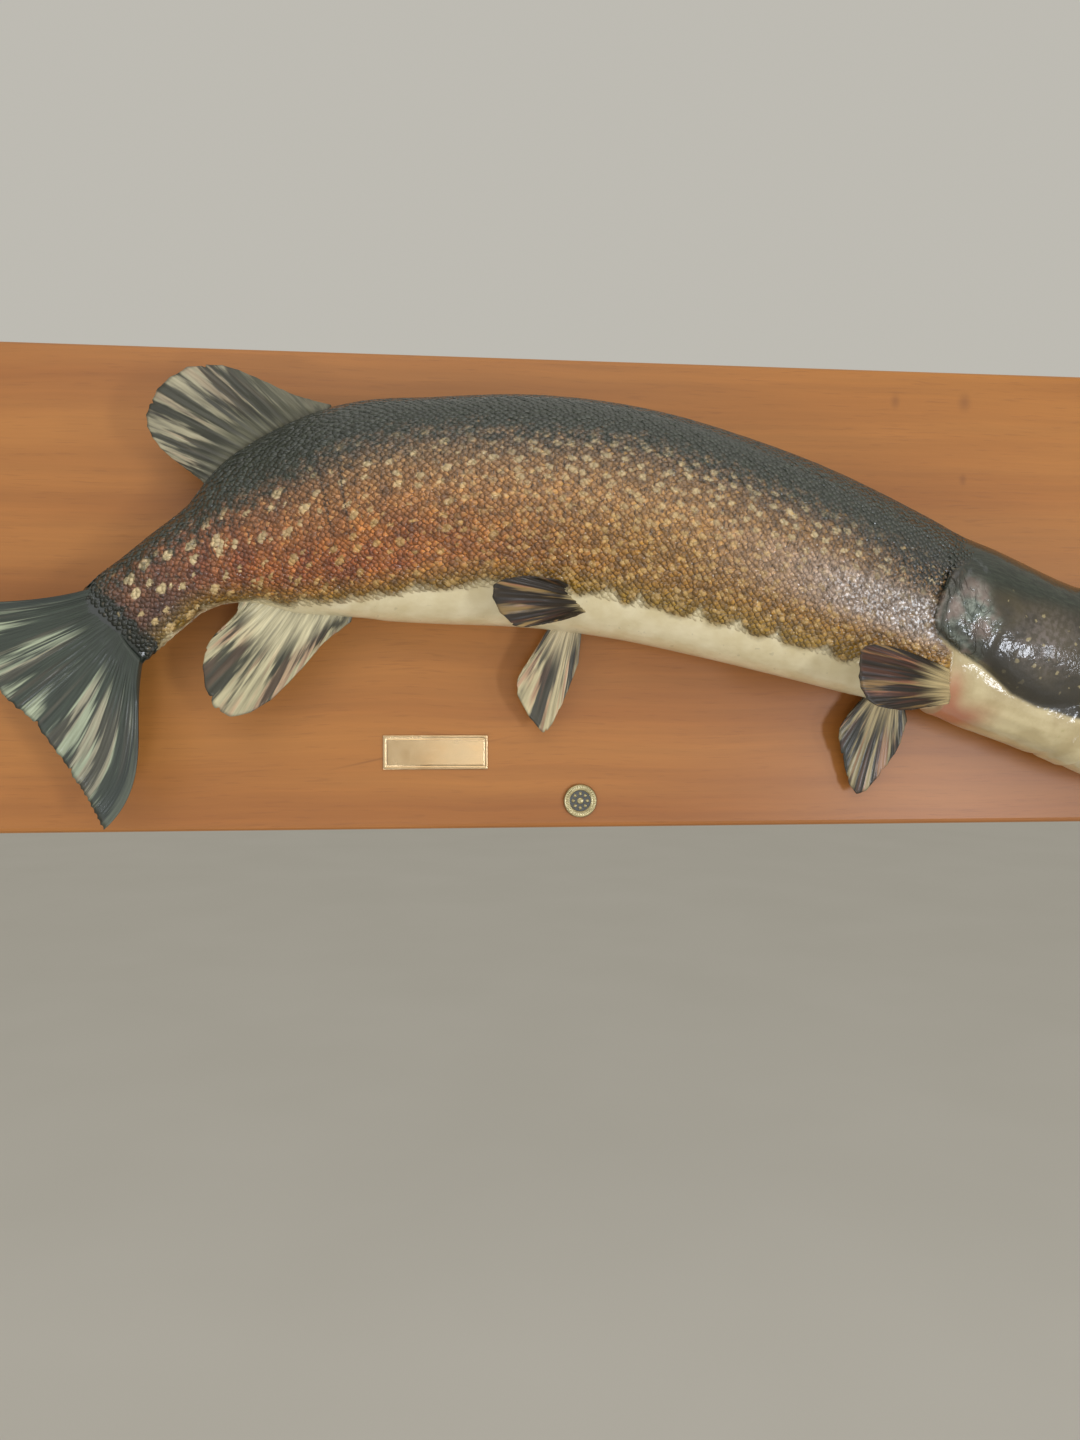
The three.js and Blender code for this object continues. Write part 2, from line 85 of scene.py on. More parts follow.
def makePiece(name, points, faces, materials, replaces=(), values=None, maps=None, faceMaterial=None,
              flat=()):
    # a mesh from points in mm and lists of equal-sided faces, with named values on its points and named
    # maps from points to (u, v); flat = which of the lists are shaded flat; it rides on the one body
    mesh = bpy.data.meshes.new(name)
    points = np.asarray(points, float).reshape(-1, 3)
    corners = np.concatenate([f.ravel() for f in faces])
    sides = np.concatenate([np.full(len(f), f.shape[1]) for f in faces])
    mesh.vertices.add(len(points))
    mesh.vertices.foreach_set("co", (points * 0.001).astype(np.float32).ravel())
    mesh.loops.add(len(corners))
    mesh.loops.foreach_set("vertex_index", corners.astype(np.int32))
    mesh.polygons.add(len(sides))
    mesh.polygons.foreach_set("loop_start", (np.cumsum(sides) - sides).astype(np.int32))
    mesh.polygons.foreach_set("loop_total", sides.astype(np.int32))
    soft = np.repeat([k not in flat for k in range(len(faces))], [len(f) for f in faces])
    mesh.polygons.foreach_set("use_smooth", soft)
    for material in materials:
        mesh.materials.append(material)
    if faceMaterial is not None:
        mesh.polygons.foreach_set("material_index", faceMaterial.astype(np.int32))
    mesh.update(calc_edges=True)
    for key, value in (values or {}).items():
        value = np.asarray(value, np.float32)
        kind = "FLOAT" if value.ndim == 1 else "FLOAT_VECTOR"
        layer = mesh.attributes.new(key, kind, "POINT")
        layer.data.foreach_set("value" if value.ndim == 1 else "vector", value.ravel())
    for key, value in (maps or {}).items():
        layer = mesh.uv_layers.new(name=key)
        layer.data.foreach_set("uv", np.asarray(value, np.float32)[corners].ravel())
    piece = bpy.data.objects.new(name, mesh)
    scene.collection.objects.link(piece)
    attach(piece, "root")
    if replaces:
        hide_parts(*replaces)
    print(f"{name}: {int((sides - 2).sum())} triangles")
    return piece


def toLinear(hexColour):
    # sRGB hex to linear light
    c = np.array([int(hexColour[i:i + 2], 16) for i in (1, 3, 5)]) / 255
    return (*np.where(c > 0.04045, ((c + 0.055) / 1.055) ** 2.4, c / 12.92), 1.0)


def addNode(tree, kind, *values, out=0, **named):
    # adds one node. Its values or links go to the sockets in order, or by a socket's name; a word in first
    # place is the operation, and names that start small are settings. It returns the output to go on from
    node = tree.nodes.new("ShaderNode" + kind)
    if values and isinstance(values[0], str):
        node.operation, *values = values
    sockets = dict(enumerate(values))
    if kind == "Mix":
        node.data_type, out = "RGBA", 2
        sockets = dict(zip((0, 6, 7), values))
    for key, value in named.items():
        if key[0].isupper():
            sockets[key] = value
        else:
            setattr(node, key, value)
    for key, value in sockets.items():
        if isinstance(value, bpy.types.NodeSocket):
            tree.links.new(value, node.inputs[key])
        else:
            node.inputs[key].default_value = value
    return node.outputs[out]


def startMaterial(name, **sockets):
    # a Principled material with fixed values on the shader's own sockets. It returns the material, addNode
    # for its node tree, and the shader
    material = bpy.data.materials.new(name)
    material.use_nodes = True
    shader = material.node_tree.nodes["Principled BSDF"]
    for key, value in sockets.items():
        shader.inputs[key.replace("_", " ")].default_value = value
    return material, partial(addNode, material.node_tree), shader


def plug(value, shader, *names):
    # links one output to the shader's sockets of these names
    for name in names:
        shader.id_data.links.new(value, shader.inputs[name])


def colourAndBump(add, shader, colour, height, strength, distance, *coats):
    # plugs the colour in, and a bump of this height into the shader's normal and those of its coats
    plug(colour, shader, "Base Color")
    bump = add("Bump", Height=height, Strength=strength, Distance=distance)
    plug(bump, shader, "Normal", *coats)


def along(values, t):
    # Catmull-Rom curve through a list of numbers, at t counted in list places
    values = np.asarray(values, float)
    last = len(values) - 1
    i = np.clip(np.floor(t).astype(int), 0, last - 1)
    f = t - i
    a, b = values[np.maximum(i - 1, 0)], values[i]
    c, d = values[i + 1], values[np.minimum(i + 2, last)]
    slopeB = np.where(i == 0, c - b, (c - a) / 2)
    slopeC = np.where(i + 1 == last, c - b, (d - b) / 2)
    return ((2 * f**3 - 3 * f**2 + 1) * b + (f**3 - 2 * f**2 + f) * slopeB
            + (3 * f**2 - 2 * f**3) * c + (f**3 - f**2) * slopeC)


def sectionTable(names, rows):
    # columns of a list of cross-sections, with a fine table of the line through their centres
    table = dict(zip(names.split(), np.array(rows, float).T))
    if "depth" in table:
        table["up"] = table["down"] = table["depth"] / 2
    table.setdefault("square", np.full(len(rows), ovalPower))
    last = len(rows) - 1
    table["t"] = t = np.linspace(0, last, 40 * last + 1)
    table["cx"], table["cz"] = along(table["x"], t), along(table["z"], t)
    table["tx"], table["tz"] = np.gradient(table["cx"], t), np.gradient(table["cz"], t)
    steps = np.hypot(np.diff(table["cx"]), np.diff(table["cz"]))
    table["arc"] = np.concatenate([[0], np.cumsum(steps)])
    return table


# The fish's form is given in cross-sections hung on centre lines in the side view.
# Trunk from the tail fin's root to the gills: centre, depth, half width
trunk = sectionTable("x z depth half", [
    (-351, -38, 66, 2.4), (-332, -19, 67, 10.5), (-314, -4, 66, 17), (-298, 9, 67, 20.5),
    (-273, 23, 79, 24), (-234, 39.5, 124, 32), (-171, 54, 157, 43), (-112, 56, 166, 50),
    (-40, 56.5, 172, 54), (29, 49, 173, 55), (99, 33, 169, 54), (161, 15, 162, 52),
    (225, -7, 149.5, 49), (262, -19.5, 139, 46.5), (300, -31, 130, 44)])
# skull and cheeks to the tip of the upper jaw: centre, reach up and down, half width, squareness
skull = sectionTable("x z up down half square", [
    (214, -6, 75, 60, 50, 2.2), (252, -15, 69, 64, 54, 2.25), (300, -26, 60, 68, 53, 2.35),
    (345, -36, 50.5, 70, 49, 2.5), (372, -42, 47, 61, 45, 2.6), (394, -46.5, 43.5, 43, 41, 2.6),
    (414, -50.5, 39, 22, 37, 2.6), (440, -55.5, 32, 12, 32.5, 2.7), (468, -60.5, 24, 10, 29.5, 2.8),
    (492, -65, 17, 9, 28, 2.7), (506, -67.5, 11, 7.5, 22, 2.5), (513, -68.5, 5, 4, 12, 2.3)])
throat = sectionTable("x z up down half square", [
    (244, -48, 30, 41, 43, 2.1), (266, -54, 30, 41, 42, 2.1), (300, -66, 28, 38, 40, 2.1),
    (340, -80, 22, 37.5, 38, 2.2), (370, -91, 10, 37.5, 36, 2.3), (388, -98, 2, 37.5, 34, 2.3)])
# lower jaw: height of its arms over the centre, depth, half width, depth of the mouth's floor
jaw = sectionTable("x z up down half floor", [
    (372, -103, 8, 25, 35.5, 11), (392, -110.5, 10, 26.5, 35, 16), (416, -119.5, 11, 27, 33.5, 19),
    (446, -130.5, 11, 24.5, 31, 19), (476, -138.5, 11, 22, 28.5, 16), (498, -143, 12, 19.5, 24.5, 12),
    (512, -145, 12, 15, 16, 7), (518, -145.5, 9, 9, 8, 3)])
mouth = sectionTable("x z up down half", [
    (346, -80, 3, 3, 6), (364, -82, 10, 11, 24), (388, -84, 20, 20, 29), (414, -84, 27, 20, 28),
    (444, -84, 23, 14, 25), (474, -86, 20, 10, 21), (496, -88, 18, 8, 15)])
tongue = sectionTable("x z up down half", [
    (384, -117, 4, 8, 14), (404, -124, 6, 9, 17), (434, -134.5, 6, 9, 15), (462, -143, 5, 7, 10),
    (472, -145.5, 2, 3, 4)])
# lines on the head seen from the side: gill opening, crease under the cheek, front of the gill cover, and
# the border of the slate top
gillLine = [(308, 120), (290, 60), (275, 33), (262, 13), (253, -5), (248.5, -20), (249.5, -32),
            (255, -38), (264, -45), (265, -70), (267, -90), (272, -120), (276, -170)]
creaseLine = [(200, 0), (250, -33), (267, -44), (287, -55), (312, -76), (332, -85), (363, -92.5),
              (392, -94), (560, -104)]
coverFront = [(279, 24), (286, 10), (290, -10), (291, -28), (285, -50)]
slateLine = [(215, 40), (240, 25), (253, 12), (287, -2), (312, -10), (346, -17), (386, -26),
             (430, -44), (513, -64)]
jawBone = [(384, -88), (398, -76), (440, -63)]  # middle of the maxilla, a plate on the lip

headForm = {
    "scaleDepth": 0.75,  # the trunk's skin lies this far inside the solids, and the scales fill it
    "nape": (6, 18),  # height where head and trunk start to run together, and mm until they have
    "coverSink": 4.4, "coverRun": 26,  # the gill cover closes in on the trunk towards its free edge
    "cheek": (324, -44, 27, 24, 3.6),  # x, z, reach along and up, height of the bulge
    "groove": 0.4,  # depth of the line in front of the gill cover
    "lipRidge": 1.5, "slit": 2.0,  # height of the cover's folded edge, depth of the slit behind it
    "eye": (386, -15.5, 27, 14.5),  # x, z, distance from the middle plane, radius of its hollow
    "lid": 0.9, "socket": (11.6, 6.5),  # height of the rim; radius of the opening, and where it starts
    "brow": (12, 1, 7),  # height over the eye, distance out from it, radius
    "nostril": (436, -34, 2.0, 17),  # x, z, radius, distance of its bottom from the middle plane
    "ribs": (0.3, 9.5),  # height and spacing of the throat's thin ribs
    "jawLip": 5.5,  # width of the lower lip
    "heel": 2.7,  # taken off where the jaw's fillet would swell the throat
}


def lineDistance(line, x, z):
    # distance in the side view to a chain of straight lines
    best = np.full(np.broadcast(x, z).shape, 1e9)
    for (x0, z0), (x1, z1) in zip(line, line[1:]):
        dx, dz = x1 - x0, z1 - z0
        f = np.clip(((x - x0) * dx + (z - z0) * dz) / (dx * dx + dz * dz), 0, 1)
        best = np.minimum(best, np.hypot(x - x0 - f * dx, z - z0 - f * dz))
    return best


def aheadOfGills(x, z):
    # distance in front of the gill opening, negative behind it
    lineX, lineZ = np.array(gillLine[::-1]).T
    return np.sign(x - np.interp(z, lineZ, lineX)) * lineDistance(gillLine, x, z)


def below(line, x, z):
    # distance under a line that runs along x, negative over it
    lineX, lineZ = np.array(line).T
    return np.sign(np.interp(x, lineX, lineZ) - z) * lineDistance(line, x, z)


def napeAt(z):
    # 0 beside the gill opening, 1 over it
    start, run = headForm["nape"]
    return smooth((z - start) / run)


def heading(table, t):
    # unit vector (x, z) along the centre line
    tx, tz = np.interp(t, table["t"], table["tx"]), np.interp(t, table["t"], table["tz"])
    length = np.hypot(tx, tz)
    return tx / length, tz / length


def overCentre(table, t, h):
    # x and z at the height h over the centre line
    tx, tz = heading(table, t)
    return along(table["x"], t) - tz * h, along(table["z"], t) + tx * h


def placeOn(table, x, z):
    # section that a point lies in: its number t, the height over the centre line and the distance past
    # either end (negative inside). t grows by (point - centre).tangent / tangent.tangent until it settles
    x, z = np.broadcast_arrays(x, z)
    knots = table["t"]
    t = np.interp(x, table["cx"], knots)
    for _ in range(10):
        dx, dz = x - np.interp(t, knots, table["cx"]), z - np.interp(t, knots, table["cz"])
        tx, tz = np.interp(t, knots, table["tx"]), np.interp(t, knots, table["tz"])
        t = np.clip(t + (dx * tx + dz * tz) / (tx * tx + tz * tz), 0, knots[-1])
    dx, dz = x - np.interp(t, knots, table["cx"]), z - np.interp(t, knots, table["cz"])
    length = np.hypot(tx, tz)
    past = np.abs(dx * tx + dz * tz) / length
    arc = np.interp(t, knots, table["arc"])
    inside = -np.minimum(arc, table["arc"][-1] - arc)
    return t, (tx * dz - tz * dx) / length, np.where(inside < -1e-6, inside, past)


def ovalField(table, x, y, z):
    # signed distance to a run of superellipse sections, (y/half)^n + (h/reach)^n = 1, to first order
    t, h, past = placeOn(table, x, z)
    n = along(table["square"], t)
    reach = np.where(h > 0, along(table["up"], t), along(table["down"], t))
    half = along(table["half"], t)
    p, q = np.abs(h) / reach, np.abs(y - fishPlane) / half
    r = (p**n + q**n) ** (1 / n) + 1e-6
    slope = r ** (1 - n) * np.hypot(p ** (n - 1) / reach, q ** (n - 1) / half) + 1e-6
    return np.maximum((r - 1) / slope, past)


def jawField(x, y, z):
    # signed distance to the jaw, the lips' outer curve below and the mouth's floor above, both
    # superellipses hung from the lips' height; and the distance to the floor alone
    t, h, past = placeOn(jaw, x, z)
    up, down, half, floor = (along(jaw[key], t) for key in ("up", "down", "half", "floor"))
    side, drop = np.abs(y - fishPlane), np.maximum(up - h, 0)
    lip = headForm["jawLip"] * np.minimum(1, half / 20)
    outer = ((side / half) ** 2.5 + (drop / (up + down)) ** 2.5) ** 0.4
    inner = ((side / (half - lip)) ** 2.5 + (drop / floor) ** 2.5) ** 0.4
    shell = np.maximum((outer - 1) * (half + down) / 2, (1 - inner) * (half - lip + floor) / 2)
    return carve(np.maximum(shell, past), up - h, 1.5), (inner - 1) * (half - lip + floor) / 2


def fuse(a, b, soft):
    # union of two bodies with a fillet as wide as soft
    k = np.clip(0.5 + 0.5 * (b - a) / soft, 0, 1)
    return b * (1 - k) + a * k - soft * k * (1 - k)


def carve(a, b, soft):
    # what is left of a outside b, with a rounded edge
    return -fuse(-a, b, soft)


def skullField(x, y, z, gill, nape):
    # signed distance to skull, cheeks and gill covers, with their lines and folds
    form = headForm
    closing = form["coverSink"] * (1 - smooth(gill / form["coverRun"])) * (1 - nape)
    head = ovalField(skull, x, y, z) + closing
    cheekX, cheekZ, reachX, reachZ, rise = form["cheek"]
    head = head - rise * bell((x - cheekX) / reachX, (z - cheekZ) / reachZ)
    front = lineDistance(coverFront, x, z)
    head = head + form["groove"] * bell(front / 3) - 0.3 * bell((front - 7) / 4)
    ridges = bell((gill - 4.5) / 2.6) + 0.4 * bell((gill - 12) / 2.4)
    head = head - form["lipRidge"] * ridges * smooth((22 - z) / 14)
    return head - 1.6 * smooth((8.5 - lineDistance(jawBone, x, z)) / 3)


def lowerField(x, y, z, gill, under):
    # signed distance to the throat, with the thin ribs that spread its skin, and to the lower jaw
    height, spacing = headForm["ribs"]
    ribs = np.sin(tau * (z + 0.34 * (x - 250)) / spacing)
    ribs = height * ribs * smooth((gill - 16) / 20) * smooth((under - 4) / 12) * smooth((370 - x) / 40)
    low = ovalField(throat, x, y, z) + 3.4 * (1 - smooth(gill / 30)) - ribs
    low = carve(low, gill, 0.8)
    jawBody, _ = jawField(x, y, z)
    low = fuse(low, jawBody, 13)
    heel = (x - 0.36 * (z + 98) - 379) / 16
    return low + headForm["heel"] * np.exp(-(heel**4)) * smooth((-98 - z) / 12)


def openFace(body, x, z, side):
    # adds the rims of the eyes and the brows, and opens sockets and nostrils
    eyeX, eyeZ, eyeSide, eyeRadius = headForm["eye"]
    fromEye = np.hypot(x - eyeX, z - eyeZ)
    hood = np.sqrt(fromEye**2 + (side - eyeSide) ** 2) - eyeRadius - headForm["lid"]
    body = fuse(body, hood, 6)
    up, out, radius = headForm["brow"]
    brow = (x - eyeX) ** 2 * 0.5 + (z - eyeZ - up) ** 2 * 2.2 + (side - eyeSide - out) ** 2
    body = fuse(body, np.sqrt(brow) - radius, 12)
    radius, start = headForm["socket"]
    body = carve(body, np.maximum(fromEye - radius, eyeSide + start - side), 1.0)
    holeX, holeZ, radius, bottom = headForm["nostril"]
    nostril = np.hypot(x - holeX, z - holeZ) - radius
    return carve(body, np.maximum(nostril, bottom - side), 1.6)


def fishField(x, y, z):
    # signed distance to the whole fish without fins, teeth and eyes, planed off at the board
    x, y, z = (np.asarray(v, float) for v in (x, y, z))
    gill, under, nape = aheadOfGills(x, z), below(creaseLine, x, z), napeAt(z)
    trunkBody = ovalField(trunk, x, y, z) + headForm["scaleDepth"]
    slit = bell((gill + 1.6) / 2.2) * smooth((18 - z) / 20)
    trunkBody = trunkBody + headForm["slit"] * slit
    head = skullField(x, y, z, gill, nape)
    cover = carve(head, gill, 1.2)  # it ends at the gill opening and over the crease
    cover = carve(cover, -under, 9)
    over = trunkBody + (head - trunkBody) * smooth((gill + 8) / 40)  # trunk and head run together here
    body = np.minimum(trunkBody, cover)
    body = body * (1 - nape) + over * nape
    body = fuse(body, lowerField(x, y, z, gill, under), 2.2)
    body = carve(body, ovalField(mouth, x, y, z), 3)
    body = openFace(body, x, z, np.abs(y - fishPlane))
    return np.maximum(body, y - boardSide)


skinGrid = {
    "step": 1.66, "trunkStep": 8.0, "headFrom": 236.0,  # mm between planes, along the trunk too
    "x": (-388, 526), "y": (-131, -18), "z": (-177, 152),
}


def surfaceNet(field, axes):
    # skin of a signed field on a grid: one point in each cell that the surface passes through, at the
    # mean of its edge crossings, and one four-sided face round each grid edge that the surface crosses
    cells = tuple(n - 1 for n in field.shape)
    found, points, quads = [], [], []
    for axis in range(3):
        low = [slice(None)] * 3
        high = [slice(None)] * 3
        low[axis], high[axis] = slice(None, -1), slice(1, None)
        a, b = field[tuple(low)], field[tuple(high)]
        index = np.nonzero((a < 0) != (b < 0))
        a, b = a[index], b[index]
        point = np.stack([axes[k][index[k]] for k in range(3)], 1)
        point[:, axis] += a / (a - b) * np.diff(axes[axis])[index[axis]]
        u, v = (axis + 1) % 3, (axis + 2) % 3
        ring = []
        for du, dv in ((-1, -1), (0, -1), (0, 0), (-1, 0)):
            cell = list(index)
            cell[u], cell[v] = index[u] + du, index[v] + dv
            ring.append(np.ravel_multi_index(cell, cells))
        quad = np.stack(ring, 1)
        quad[a >= 0] = quad[a >= 0][:, ::-1]
        quads.append(quad)
        found.append(quad.ravel())
        points.append(np.repeat(point, 4, 0))
    _, place = np.unique(np.concatenate(found), return_inverse=True)
    points, hits = np.concatenate(points), np.bincount(place)
    mean = np.stack([np.bincount(place, points[:, k]) / hits for k in range(3)], 1)
    return mean, place.reshape(-1, 4)


def settle(points, rounds=2, step=0.4):
    # moves points onto the fish's surface along the field's slope
    for _ in range(rounds):
        x, y, z = points.T
        value = fishField(x, y, z)
        slope = np.stack([fishField(x + step, y, z) - fishField(x - step, y, z),
                          fishField(x, y + step, z) - fishField(x, y - step, z),
                          fishField(x, y, z + step) - fishField(x, y, z - step)], 1) / (2 * step)
        steep = np.maximum((slope**2).sum(1), 0.25)
        move = np.clip(value / steep, -1.2, 1.2)
        points = points - slope * move[:, None]
    return points


# Where the paint lies, each against the section number counted from the tail: the border of the dark back
# and of the pale belly, as a share of the way round from ridge to keel, then the amounts of rust, of the
# painted grey sheen (a highlight painted into the colour) and of dark smudge
paintLines = {
    "back": ([0, 0.8, 1.9, 3.2, 4, 5, 5.5, 6.15, 6.7, 7.3, 8, 8.8, 9.5, 10.2, 11, 12, 14],
             [0.05, 0.13, 0.26, 0.30, 0.345, 0.36, 0.34, 0.29, 0.27, 0.264, 0.285, 0.27, 0.285, 0.30,
              0.32, 0.33, 0.34]),
    "belly": ([0, 2.5, 3, 4.1, 5.15, 6.2, 6.8, 7.5, 9.6, 14],
              [1.0, 0.93, 0.925, 0.94, 0.885, 0.83, 0.79, 0.765, 0.775, 0.785]),
    "rust": ([0, 2, 3.4, 4.6, 6.6, 7.6, 9, 14], [0.5, 0.6, 0.9, 1, 1, 0.6, 0.15, 0]),
    "sheen": ([9.6, 10.6, 11.4, 12.2, 14], [0, 0.45, 0.85, 1, 1]),
    "sheenShare": (0.547, 0.094),  # its middle and reach on the way round
    "smudge": ([11.1, 11.7, 12.1, 14], [0, 0.6, 1, 1]),
    "smudgeShare": (0.37, 0.115),  # the same of the smudge
    "bareEnd": (13.0, 36.0),  # mm from the tail's root where the dark bare skin fades out
}

# the girth table: at which sections, and at which angles from ridge to keel
girthT, girthAngle = np.linspace(0, trunk["t"][-1], 141), np.linspace(0, math.pi, 121)


def trunkPoint(t, angle, side):
    # a point of the trunk's surface: superellipse at t, angle from the ridge, side -1 near or +1 far
    power = 2 / ovalPower
    c, s = np.cos(angle), np.sin(angle)
    h = np.sign(c) * np.abs(c) ** power * along(trunk["up"], t)
    across = np.abs(s) ** power * along(trunk["half"], t)
    x, z = overCentre(trunk, t, h)
    return np.stack(np.broadcast_arrays(x, fishPlane + side * across, z), -1)


girthPoints = trunkPoint(girthT[:, None], girthAngle[None, :], -1)
girthRun = np.linalg.norm(np.diff(girthPoints, axis=1), axis=2).cumsum(1)
girthRun = np.concatenate([np.zeros((len(girthT), 1)), girthRun], 1)  # mm from the ridge at each angle
halfGirth = girthRun[:, -1]


def girthAt(t, angle):
    # distance from the ridge round the section, between the table's rows and columns
    row = np.clip(t / girthT[1], 0, len(girthT) - 1.001)
    column = np.clip(angle / girthAngle[1], 0, len(girthAngle) - 1.001)
    i, j = row.astype(int), column.astype(int)
    f, g = row - i, column - j
    return ((girthRun[i, j] * (1 - g) + girthRun[i, j + 1] * g) * (1 - f)
            + (girthRun[i + 1, j] * (1 - g) + girthRun[i + 1, j + 1] * g) * f)


def sheenAt(t, share):
    # how strongly the painted pale grey sheen shows: exp(-(d / reach)^4) of the distance d from its middle
    middle, reach = paintLines["sheenShare"]
    return np.interp(t, *paintLines["sheen"]) * np.exp(-(((share - middle) / reach) ** 4))


def trunkPaint(t, run, arc):
    # values that the paint reads: lie = mm along and round the body and the share round; zone = mm inside
    # the back's and the belly's borders and the amount of rust; bloom = painted sheen, smudge, bare tail
    # end
    girth = np.interp(t, girthT, halfGirth)
    share = run / girth
    middle, reach = paintLines["smudgeShare"]
    start, end = paintLines["bareEnd"]
    lie = np.stack([arc, run, share], -1)
    zone = np.stack([(share - np.interp(t, *paintLines["back"])) * girth,
                     (share - np.interp(t, *paintLines["belly"])) * girth,
                     np.interp(t, *paintLines["rust"])], -1)
    smudge = np.interp(t, *paintLines["smudge"]) * bell((share - middle) / reach)
    bare = 1 - smooth((arc - start) / (end - start))
    return {"lie": lie, "zone": zone,
            "bloom": np.stack([sheenAt(t, share), smudge, bare], -1)}


def mouthLining(x, y, z):
    # 1 on the palate, on the floor of the jaw and in the hollow behind them, 0 outside the mouth
    side = np.abs(y - fishPlane)
    row, drop, _ = placeOn(skull, x, z)
    palate = smooth((-drop / along(skull["down"], row) - 0.55) / 0.25) * smooth((x - 392) / 8)
    palate = palate * smooth((0.88 - side / along(skull["half"], row)) / 0.06) * (z > -100)
    _, floor = jawField(x, y, z)
    trough = smooth((2.4 - np.abs(floor)) / 1.2) * smooth((x - 366) / 4) * smooth((-60 - z) / 8)
    hollow = smooth((2.4 - np.abs(ovalField(mouth, x, y, z))) / 1.2)
    return np.clip(np.maximum(np.maximum(palate, trough), hollow), 0, 1)


# soft blots of the head's paint: x and z of the middle, reach along and up; the cheek's blot places a
# painted highlight on its bulge
headBlots = {
    "blush": (281, -96, 17, 10), "cheek": (332, -39, 27, 24),
    "stain": (264, 7, 9, 12),  # dark paint at the top of the gill opening
}


def skinValues(points):
    # the trunk's paint values at any point of the skin, and the head's own shares:
    # headShare = head, slate top, gill cover; headMark = cream, blush, painted shade in the crease with the
    # dark stain; glow = painted highlight on the cheek, rim, lining
    x, y, z = points.T
    t, h, past = placeOn(trunk, x, z)
    side = np.abs(y - fishPlane)
    power = ovalPower / 2
    angle = np.arctan2((side / along(trunk["half"], t)) ** power,
                       np.sign(h) * (np.abs(h) / along(trunk["up"], t)) ** power)
    arc = np.interp(t, trunk["t"], trunk["arc"]) + np.where(t > 7, 1, -1) * np.maximum(past, 0)
    values = trunkPaint(t, girthAt(t, angle), arc)
    gill, under = aheadOfGills(x, z), below(creaseLine, x, z)
    nape = napeAt(z)
    head = smooth((gill + 1.5) / 2.5) * (1 - nape) + smooth((gill + 4) / 26) * nape
    slate = smooth((4 - below(slateLine, x, z)) / 16)
    behindFront = np.interp(z, *np.array(coverFront[::-1]).T[::-1]) - x
    cover = smooth((behindFront + 6 + 2.5 * np.sin(z / 5)) / 14) * smooth((26 - z) / 12)
    cream = smooth((under - np.interp(x, [250, 350, 400, 520], [-1, 0, 4, 8])) / 3)
    # blots of blush, of the cheek's painted highlight and of the dark stain
    blush, cheek, stain = (bell((x - midX) / reachX, (z - midZ) / reachZ)
                           for midX, midZ, reachX, reachZ in headBlots.values())
    blush = blush + 0.8 * bell((gill - 4) / 7) * smooth((-50 - z) / 25)
    # painted shade along the crease under the cheek, fading towards the jaw
    crease = bell((under + 7) / 9) * smooth((gill - 4) / 10)
    crease = crease * (1 - 0.8 * smooth((x - 350) / 24))
    rim = bell((gill - 3.5) / 2.6) * (1 - nape)
    values["headShare"] = np.stack([head, slate, cover], -1)
    values["headMark"] = np.stack([cream, np.clip(blush, 0, 1), np.maximum(crease, stain)], -1)
    values["glow"] = np.stack([cheek, rim, mouthLining(x, y, z)], -1)
    return values


bodyPaint = {
    "back": "#182014", "backStroke": "#3a4234", "ridge": "#252c24", "stem": "#402a2b",
    # grey is the colour of the painted sheen; the blue-white after it is that of the painted glints in it
    "upper": "#5f4a35", "middle": "#a47a46", "gold": "#8f6515", "grey": "#9e948d", "paintedGlint": "#dcdfe6",
    "rust": "#843a18", "rustPale": "#b36628", "rim": "#8d701c", "dash": "#231c12",
    "spot": "#d9c495", "spotWarm": "#cda764", "cream": "#e6d9b4", "creamDark": "#d6c69b",
    "crack": "#1d1710", "edge": "#5c4a18", "bare": "#161f17", "smudge": "#131912",
    "spotStep": (0.061, 0.086, 0.0),  # spots per mm: one in 16 mm along and in 11.6 mm round
    "dotStep": (1.3, 1.2, 0.0),  # small dots to one spot
    "scallop": 0.09,  # radians per mm
    "cracks": ((188.0, 7.0), (201.0, 4.0)),  # mm from the tail's root, mm of wander
}


def readTrunk(add):
    # what the trunk's paint is laid by: s = mm from the tail's root, share = way round from the ridge,
    # back and belly = mm past their borders, amounts of rust, of painted grey sheen, of smudge and of
    # bare skin, and three noises
    lie, zone, bloom = (add("Attribute", out="Vector", attribute_name=name)
                        for name in ("lie", "zone", "bloom"))
    at = SimpleNamespace(lie=lie)
    at.s, at.share = (add("SeparateXYZ", lie, out=k) for k in (0, 2))
    at.back, at.belly, at.rust = (add("SeparateXYZ", zone, out=k) for k in range(3))
    at.grey, at.smudge, at.bare = (add("SeparateXYZ", bloom, out=k) for k in range(3))
    at.broad = add("TexNoise", Vector=lie, Scale=0.045, Detail=3.0)  # 22 mm clouds
    at.medium = add("TexNoise", Vector=lie, Scale=0.16, Detail=3.0)  # 6 mm blots
    at.fine = add("TexNoise", Vector=lie, Scale=0.48, Detail=2.0)  # 2 mm dabs
    at.patches = add("MapRange", at.broad, 0.35, 0.65)
    at.down = add("MapRange", at.back, 4.0, 92.0)  # how far down the flank
    at.gold = add("MapRange", at.down, 0.42, 0.8)
    # the painted sheen, a highlight laid into the colour, broken up by the 6 mm blots
    veil = add("MapRange", at.medium, 0.35, 0.6, 0.62, 0.95)
    at.veil = add("Math", "MULTIPLY", at.grey, veil)
    return at


